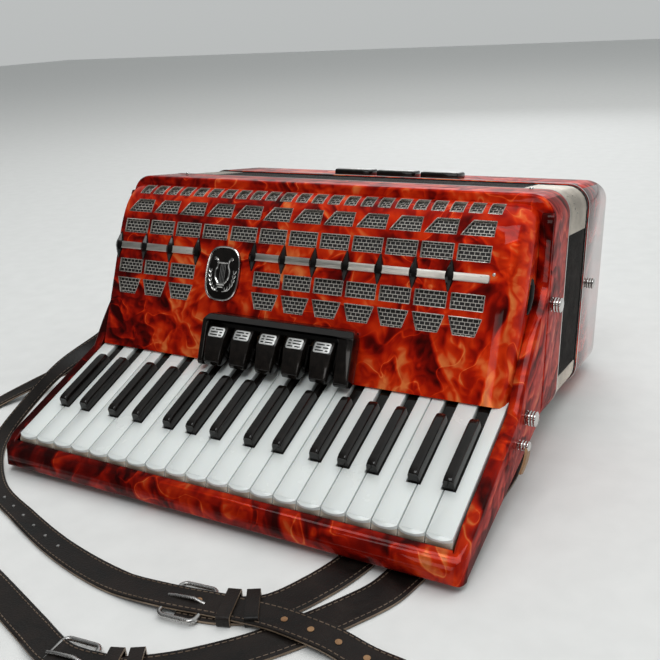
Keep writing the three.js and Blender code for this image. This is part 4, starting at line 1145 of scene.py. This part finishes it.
def small_fittings():
    """The grille's latch, the casing's top pins, the bass cover's screws and the leather tab on a knob."""
    latch, pins, cover, tab = Shape(), Shape(), Shape(), Shape()
    rings = []
    for z, half, rise in LATCH:
        y = FACE["y"] + 22 + (z - FACE["z"]) * math.tan(FACE_LEAN)
        turns = [math.pi * k / 8 for k in range(9)]
        rings.append([(GRILLE_HALF - 0.6 + rise * math.sin(t), y - half * math.cos(t), z) for t in turns])
    latch.loft(rings).piece("grille_latch", [JET], "treble_side", "black_plastic")
    dome = [(0, -0.4), (2.1, -0.4), (2.1, 0.5), (1.5, 1.4), (0, 1.8)]
    for x in (-175.3, 175.3):
        pins.lathe((x, 222, BODY_H), (0, 0, 1), dome, 16)
    pins.piece("top_pins", [CHROME], "treble_side", "chrome")
    for x in (-160, 160):
        for y in (322, 368):
            cover.lathe((x, y, 0.05), (0, 0, -1), [(0, -0.2), (3, -0.2), (2.8, 0.6), (0, 0.9)], 16)
    cover.piece("cover_screws", [CHROME], "bass_side", "chrome")
    path = curve_through([(213.5, 110, 9), (214.5, 107.5, 4), (214, 104, -3), (212.8, 99, -9)], 6)
    rings = []
    for i, p in enumerate(path):
        half = 3.2 + 1.6 * math.sin(math.pi * i / (len(path) - 1))
        corners = ((-0.9, -1), (0.9, -1), (0.9, 1), (-0.9, 1))
        rings.append([(p.x + a, p.y + b * half, p.z - b * 0.8) for a, b in corners])
    tab.loft(rings).piece("stud_tab", [TAN], "treble_side", "leather")


# ---- bellows ------------------------------------------------------------------------------------------

FOLDS = 16
FRAME_T = 3.4
FOLD_DEEP = 11  # how far the valleys between the folds lie inside the casings' outline
FOLD = ((0.0, FOLD_DEEP), (0.3, 2.4), (0.38, 1.75), (0.5, 1.6), (0.62, 1.75), (0.7, 2.4))
CARD_T = 2.4


def bellows():
    """Folded card, covered in cloth, with a metal guard over each fold's corners, in two wooden frames."""
    y0, y1 = BELLOWS["front"] + FRAME_T, BELLOWS["back"] - FRAME_T
    pitch = (y1 - y0) / FOLDS
    stations = [(y0 + (i + share) * pitch, inset) for i in range(FOLDS) for share, inset in FOLD]
    stations.append((y1, FOLD_DEEP))
    outer = [(y, outline_ring(inset)) for y, inset in stations]
    inner = [(y, outline_ring(inset + CARD_T, CORNER_R + 2)) for y, inset in stations[::-1]]
    rings = [[(x, y, z) for x, z in ring] for y, ring in outer + inner]
    folds = Shape().loft(rings, around="rings")
    made = folds.piece("bellows_folds", [CLOTH], None, "bellows_cloth", ("bellows",), 50)
    guards = Shape()
    for i in range(FOLDS):
        middle = y0 + (i + 0.5) * pitch
        for side in (-1, 1):
            for top in (True, False):
                guards.loft(guard_rings(side, top, middle, pitch * 0.3))
    plates = guards.piece("bellows_guards", [CHAMPAGNE], None, "bellows_cloth", (), 40)
    for each in (made, plates):
        at(0, y0, 90)
        at(0, y1, 90)
        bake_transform(each)
    for name, y in (("treble", BELLOWS["front"]), ("bass", BELLOWS["back"] - FRAME_T)):
        ends = ((0, 1.2), (0, 13), (1, 13), (1, 1.2), (0.8, 0.6), (0.2, 0.6))
        rings = [[(x, y + share * FRAME_T, z) for x, z in outline_ring(inset)] for share, inset in ends]
        rail = Shape().loft(rings, around="rings")
        rail.piece(f"bellows_frame_{name}", [BLACK_PLASTIC], f"{name}_side", "bellows_cloth")


def guard_rings(side, top, middle, half):
    """A thin metal channel over one fold, up the side, round the corner and along the top or bottom."""
    down, across = (38 if top else 27), 46
    r = CORNER_R - 1.3
    cx = HALF_BODY - CORNER_R
    cz = BODY_H - CORNER_R if top else CORNER_R
    way = 1 if top else -1
    points = [(cx + r, cz - way * (down - CORNER_R), 1, 0), (cx + r, cz, 1, 0)]
    for k in range(1, 6):
        c, s = math.cos(math.pi / 12 * k), math.sin(math.pi / 12 * k)
        points.append((cx + r * c, cz + way * r * s, c, s))
    points += [(cx, cz + way * r, 0, 1), (HALF_BODY - across, cz + way * r, 0, 1)]
    cross = ((-half, 2.2), (-half * 0.5, 0.15), (0, 0), (half * 0.5, 0.15), (half, 2.2), (0, 2.6))
    rings = []
    for x, z, nx, nz in points:
        rings.append([(side * (x - nx * d), middle + y, z - way * nz * d) for y, d in cross])
    return rings


# ---- bass side ----------------------------------------------------------------------------------------

BUTTONS = {"rows": 5, "columns": 12, "pitch_x": 17, "pitch_z": 16, "r": 5, "first": -104, "first_z": 94}
STAGGER = 5  # how far each row of buttons is shifted
INSIDE = {"plate": (362, 366), "air": (366, 370)}  # where the parts behind the board begin and end
AIR = {"x": 160, "z": 120, "r": 5.5}


def bass_side():
    """The bass buttons with their domed tops, the air button, and the register plates' silver inlays."""
    stops, air, collar = Shape(), Shape(), Shape()
    back, r = BASS["back"], BUTTONS["r"]
    dome = [(0, INSIDE["plate"][0]), (r, INSIDE["plate"][0])]
    crown = ((1, 3.4), (0.93, 4.3), (0.72, 4.8), (0.4, 4.5), (0, 4.3))
    dome += [(r * share, back + up) for share, up in crown]
    for row in range(BUTTONS["rows"]):
        for column in range(BUTTONS["columns"]):
            x = BUTTONS["first"] + column * BUTTONS["pitch_x"] + row * STAGGER
            z = BUTTONS["first_z"] + row * BUTTONS["pitch_z"]
            stops.lathe((x, 0, z), (0, 1, 0), dome, 20)
    stops.slab(rounded_rect(-122, 122, 84, 168, 3, 3), lambda a, b, h: (a, h, b), *INSIDE["plate"])
    stops.piece("bass_stops", [WHITE], "bass_buttons", "bass_button", ("bass_buttons",))
    (low, high), r = INSIDE["air"], AIR["r"]
    profile = [(0, low), (9, low), (9, high), (r, high)]
    profile += [(r, back + 4.6), (r - 0.6, back + 5.6), (0, back + 6)]
    air.lathe((AIR["x"], 0, AIR["z"]), (0, 1, 0), profile, 24)
    air.piece("air_stop", [CHROME], "air_button", "chrome", ("air_button",))
    turns = np.linspace(0, 2 * math.pi, 24, False)
    ring = [(AIR["x"] + 8.2 * math.cos(t), back + 0.2, AIR["z"] + 8.2 * math.sin(t)) for t in turns]
    collar.tube(ring, 0.9, 8, True)
    collar.tube([(x, back + 0.1, z) for x, z in rounded_rect(-129, 129, 79, 173, 2, 3)], 1.0, 8, True)
    collar.piece("board_trim", [CHROME], "bass_side", "chrome")
    for i in range(3):
        x, low = -35 + 47.5 * i, BODY_H + 5.2
        inlay = rounded_rect(x - 18, x + 18, 314, 332, 2, 3)
        plate = Shape().slab(inlay, lambda a, b, h: (a, b, h), low, low + 0.6, 0.2)
        plate.piece(f"bass_inlay_{i + 1}", [LABEL], f"bass_register_{i + 1}", "chrome")


HAND = {"half": 196, "low": 14, "high": 70, "padding": 1.5}


def strap_bow(t):
    """How far the hand strap stands off the cover, t of the way along it."""
    return 9 + 32 * math.sin(math.pi * t) ** 0.8


def hand_strap():
    """The leather band over the player's hand, sewn along both edges, with plates at its ends."""
    body = "bass_side"
    low, high, back = HAND["low"], HAND["high"], BASS["back"]
    rings, lines = [], [[], []]
    for k in range(49):
        t = k / 48
        here = Vector(((2 * t - 1) * HAND["half"], back + strap_bow(t), 0))
        slope = 0 if k in (0, 48) else (strap_bow(t + 0.01) - strap_bow(t - 0.01)) / (HAND["half"] * 0.04)
        n = Vector((-slope, 1, 0)).normalized()
        swell = 4.0 + HAND["padding"] * math.sin(math.pi * min(t * 12, (1 - t) * 12, 0.5))
        cross = [(low, 1.2), (low + 1.2, 0.2), (high - 1.2, 0.2), (high, 1.2), (high, 3.0)]
        cross += [(high - 1.2, 4.0)] + [(low + (high - low) * share, swell) for share in (0.8, 0.5, 0.2)]
        cross += [(low + 1.2, 4.0), (low, 3.0)]
        rings.append([here + Vector((0, 0, z)) + n * d for z, d in cross])
        for line, z in zip(lines, (low + 4, high - 4)):
            line.append(here + Vector((0, 0, z)) + n * 4.5)
    Shape().loft(rings).piece("hand_band", [LEATHER], body, "leather", ("bass_hand_strap",), 60)
    thread, plates = Shape(), Shape()
    for line in lines:
        stitches(thread, line, 5.2, 0.42)
    thread.piece("hand_band_thread", [THREAD], body, "leather")
    for x in (-HAND["half"] - 3, HAND["half"] + 3):
        outline = rounded_rect(x - 5, x + 5, low - 2, high + 2, 2, 3)
        plates.slab(outline, lambda a, b, h: (a, back + h, b), 0.4, 13.4, 1)
        for z in (low + 10, high - 10):
            plates.lathe((x, back + 13.2, z), (0, 1, 0), [(0, 0), (2.6, 0), (2.2, 1), (0, 1.4)], 16)
    plates.piece("hand_band_plates", [CHROME], body, "chrome")


# ---- shoulder straps ----------------------------------------------------------------------------------

STRAP_T = 2.6
FLOOR_GAP = 0.15
FLAT = STRAP_T / 2 + FLOOR_GAP
LIFT = FLAT + STRAP_T + 0.5
BAND_STEPS = 10  # frames from one knot of a strap to the next


def stitches(shape, line, pitch, thick):
    """A row of short raised stitches along a line of points."""
    lengths = np.concatenate([[0], np.cumsum([(b - a).length for a, b in zip(line, line[1:])])])
    table = np.array([list(p) for p in line])
    spots = np.arange(1, lengths[-1] - pitch, pitch)
    for s in spots:
        a, b = (Vector([np.interp(t, lengths, axis) for axis in table.T]) for t in (s, s + pitch * 0.68))
        shape.tube([a, a.lerp(b, 0.5), b], thick, 5)


def band(knots, width_at):
    """Frames along a strap: for each step, its middle, the way across it, its normal and its half width.
    A knot is a point and, where the strap is rolled over, the angle of that."""
    path = curve_through([k[:3] for k in knots], BAND_STEPS)
    rolls = [k[3] if len(k) > 3 else 0 for k in knots]
    frames = []
    for i, here in enumerate(path):
        t = i / (len(path) - 1)
        along = (path[min(i + 1, len(path) - 1)] - path[max(i - 1, 0)]).normalized()
        place = min(t * (len(knots) - 1), len(knots) - 1.0001)
        low, high = rolls[int(place)], rolls[int(place) + 1]
        roll = math.radians(low + (high - low) * (place % 1))
        side = Vector((-along.y, along.x, 0)).normalized()
        side.rotate(Matrix.Rotation(roll, 3, along))
        frames.append((here, side, along.cross(side), width_at(t) / 2))
    return frames


def lay(p, floor):
    """A point of a strap, lifted to a height if it's lower."""
    return Vector((p.x, p.y, max(p.z, floor)))


def strap_mesh(shape, thread, frames, crease):
    """Two layers of leather with rounded cut edges, rolled grooves and a sewn line inside each edge."""
    half_t = STRAP_T / 2
    cross = [(-1, 0.35), (-0.93, 1), (-0.62, 0.86), (0, 1.0 - crease), (0.62, 0.86), (0.93, 1), (1, 0.35)]
    cross += [(1, -0.5), (0.93, -1), (-0.93, -1), (-1, -0.5)]
    rings, lines = [], [[], []]
    for here, side, normal, half in frames:
        top_up = normal.z >= 0
        ring = []
        for a, b in cross:
            p = here + side * (half * a) + normal * (half_t * b)
            upper = (b > 0) == top_up
            ring.append(lay(p, FLOOR_GAP + (STRAP_T * 0.86 if upper else 0)))
        rings.append(ring)
        for line, a in zip(lines, (-0.78, 0.78)):
            p = here + side * (half * a) + normal * (half_t * 0.98)
            line.append(lay(p, FLOOR_GAP + STRAP_T * 0.9))
    shape.loft(rings, mark_of=lambda i, k: 1 if k in (6, 10) else 0)
    for line in lines:
        stitches(thread, line, 4.4, 0.36)


BILLET_W = {"tip": 12, "rolled": 16, "flat": 22}
CHAPE_W = 26


def billet_width(t):
    """The long part's width: its tip is pointed and its first part is rolled narrower."""
    share = min(max((t - 0.4) / 0.2, 0), 1)
    tip, rolled, flat = BILLET_W.values()
    width = rolled + (flat - rolled) * share * share * (3 - 2 * share)
    return tip + (width - tip) * min(t / 0.04, 1)


def chape_width(t):
    """The short part's width, which tapers to its lug."""
    return CHAPE_W - (t - 0.8) * 70 if t > 0.8 else CHAPE_W


def leant(x, y, z):
    """An instrument point in the straps' frame, which stands on the floor."""
    p = at(x, y, z)
    return ((p.x - origin.x) / MM, (p.y - origin.y) / MM, p.z / MM)


STRAPS = [
    {
        "billet": [
            (*leant(-210.8, 186, 62), -90), (*leant(-211, 172, 50), -90), (-214, 158, 73, -80),
            (-224, 136, 62, -60), (-246, 103, 44, -30), (-258, 66, 20, -8), (-250, 20, FLAT + 1),
            (-190, -37, FLAT), (-132, -62, FLAT), (-70, -83, FLAT), (-13, -94, FLAT), (30, -95, LIFT),
            (75, -88, LIFT), (108, -84, LIFT), (130, -85, LIFT + 0.4), (152, -87, LIFT + 0.2),
            (174, -90, FLAT + 0.8), (196, -92, FLAT),
        ],
        "chape": [
            (46, -94, FLAT), (75, -88, FLAT), (100, -74, FLAT), (118, -42, FLAT), (129, -8, FLAT),
            (136, 40, FLAT), (144, 100, FLAT), (148, 160, FLAT + 1), (149.5, 190, 8), (150, 199, 17.5),
        ],
        "buckle": (50, -93, 0.1),
        "keepers": [(78, -87, 0.3), (92, -81, 0.5)],
        "holes": (10, 17),
    },
    {
        "billet": [
            (*leant(-210.8, 212, 40), -90), (*leant(-211, 198, 28), -90), (-218, 186, 49, -80),
            (-240, 168, 38, -55), (-290, 130, 18, -15), (-318, 80, 4), (-312, 10, FLAT), (-262, -60, FLAT),
            (-180, -104, FLAT), (-100, -128, FLAT), (-30, -152, FLAT), (12, -166, LIFT), (40, -163, LIFT),
            (74, -158, LIFT), (110, -160, FLAT + 1.4), (142, -168, FLAT),
        ],
        "chape": [
            (12, -166, FLAT), (40, -163, FLAT), (70, -147, FLAT), (104, -116, FLAT), (128, -86, FLAT),
            (146, -58, FLAT), (160, -32, FLAT), (166, -8, FLAT), (176, 40, FLAT), (184, 100, FLAT),
            (186, 160, FLAT + 1), (186, 190, 8), (186, 199, 17.5),
        ],
        "buckle": (16, -166, 0.1),
        "keepers": [(45, -161, 0.35), (58, -155, 0.5)],
        "holes": (11, 15),
    },
]


def placed(x, y, turn):
    """A function from a fitting's own frame to the floor's."""
    c, s = math.cos(turn), math.sin(turn)
    return lambda a, b, h: (x + a * c - b * s, y + a * s + b * c, h)


def buckle(shape, x, y, turn):
    """A flat wire frame with a prong across it."""
    place = placed(x, y, turn)
    ring = rounded_rect(-13.4, 13.4, -16.4, 16.4, 4.5, 5)
    shape.tube([place(a, b, 3.6) for a, b in ring], 1.75, 10, True, flat=0.9)
    shape.tube([place(12.6, -15.5, 3.4), place(12.6, 15.5, 3.4)], 1.5, 10)
    shape.tube([place(12.6, 0, 5), place(5, 0, 7.4), place(-8, 0, 6.6), place(-14.4, 0, 5.6)], 1.25, 8)


def keeper(shape, x, y, turn):
    """A leather loop round the strap, with cut edges that show tan."""
    place = placed(x, y, turn)
    outer = rounded_rect(-14.8, 14.8, FLOOR_GAP, 8.3, 2.2, 4)
    inner = rounded_rect(-12.9, 12.9, FLOOR_GAP + 1.2, 6.6, 1.2, 4)
    loops = ((-4.4, inner), (-4.4, outer), (4.4, outer), (4.4, inner))
    rings = [[place(a, b, h) for b, h in loop] for a, loop in loops]
    shape.loft(rings, around="rings", mark_of=lambda i, k: 1 if i in (0, 2) else 0)


def stud(shape, frame_there, profile, sides):
    """A turned stud, or the rim of a hole, on a strap's upper face."""
    here, _, normal, _ = frame_there
    up = normal if normal.z > 0 else -normal
    shape.lathe(here + up * (STRAP_T / 2 - 0.1), up, profile, sides)


def shoulder_straps():
    """Each strap's two parts, stitched, with its buckle, keepers, rivets and holes."""
    for number, route in enumerate(STRAPS, 1):
        leather, thread, fittings, holes = Shape(), Shape(), Shape(), Shape()
        billet = band(route["billet"], billet_width)
        chape = band(route["chape"], chape_width)
        strap_mesh(leather, thread, billet, 0.1)
        strap_mesh(leather, thread, chape, 0.05)
        buckle(fittings, *route["buckle"])
        for spot in route["keepers"]:
            keeper(leather, *spot)
        first, last = (BAND_STEPS * k for k in route["holes"])
        for i in range(first + 16, last - 4, 9):
            stud(holes, billet[i], [(0, 0), (2.2, 0), (2.2, 0.35), (1.3, 0.45), (0, 0.1)], 14)
        stud(fittings, chape[16], [(0, 0), (4.2, 0), (4.2, 0.8), (2.8, 2), (0, 2.4)], 20)
        for i in range(62, 92, 3):
            stud(fittings, billet[i], [(0, 0), (1.4, 0), (1.2, 0.7), (0, 0.9)], 10)
        for shape, name, materials, slot, replaces in (
            (leather, "leather", [LEATHER, STRAP_EDGE], "leather", (f"shoulder_strap_{number}",)),
            (thread, "thread", [THREAD], "leather", ()),
            (holes, "holes", [TAN], "leather", ()),
            (fittings, "metal", [STEEL], "steel", ()),
        ):
            shape.piece(f"strap_{name}_{number}", materials, "treble_side", slot, replaces, 50, ON_FLOOR)


# ---- building -----------------------------------------------------------------------------------------

PLAIN = {
    "red_celluloid": RED,
    "white_key": WHITE,
    "black_key": BLACK_KEY,
    "black_plastic": BLACK_PLASTIC,
    "chrome": CHROME,
    "steel": STEEL,
    "aluminium": ALUMINIUM,
    "grille_mesh": STEEL,
    "reed_wood": WOOD,
    "bellows_cloth": CLOTH,
    "bass_button": WHITE,
    "leather": LEATHER,
}
for node in frame["nodes"].values():
    plain = PLAIN[node.data.materials[0].name]
    node.data.materials.clear()
    node.data.materials.append(plain)

camera()
studio()
keys()
grille()
weave()
bars_and_diamonds()
badge()
for i in range(SWITCH["count"]):
    switch_label(i)
casings()
small_fittings()
bellows()
bass_side()
hand_strap()
shoulder_straps()
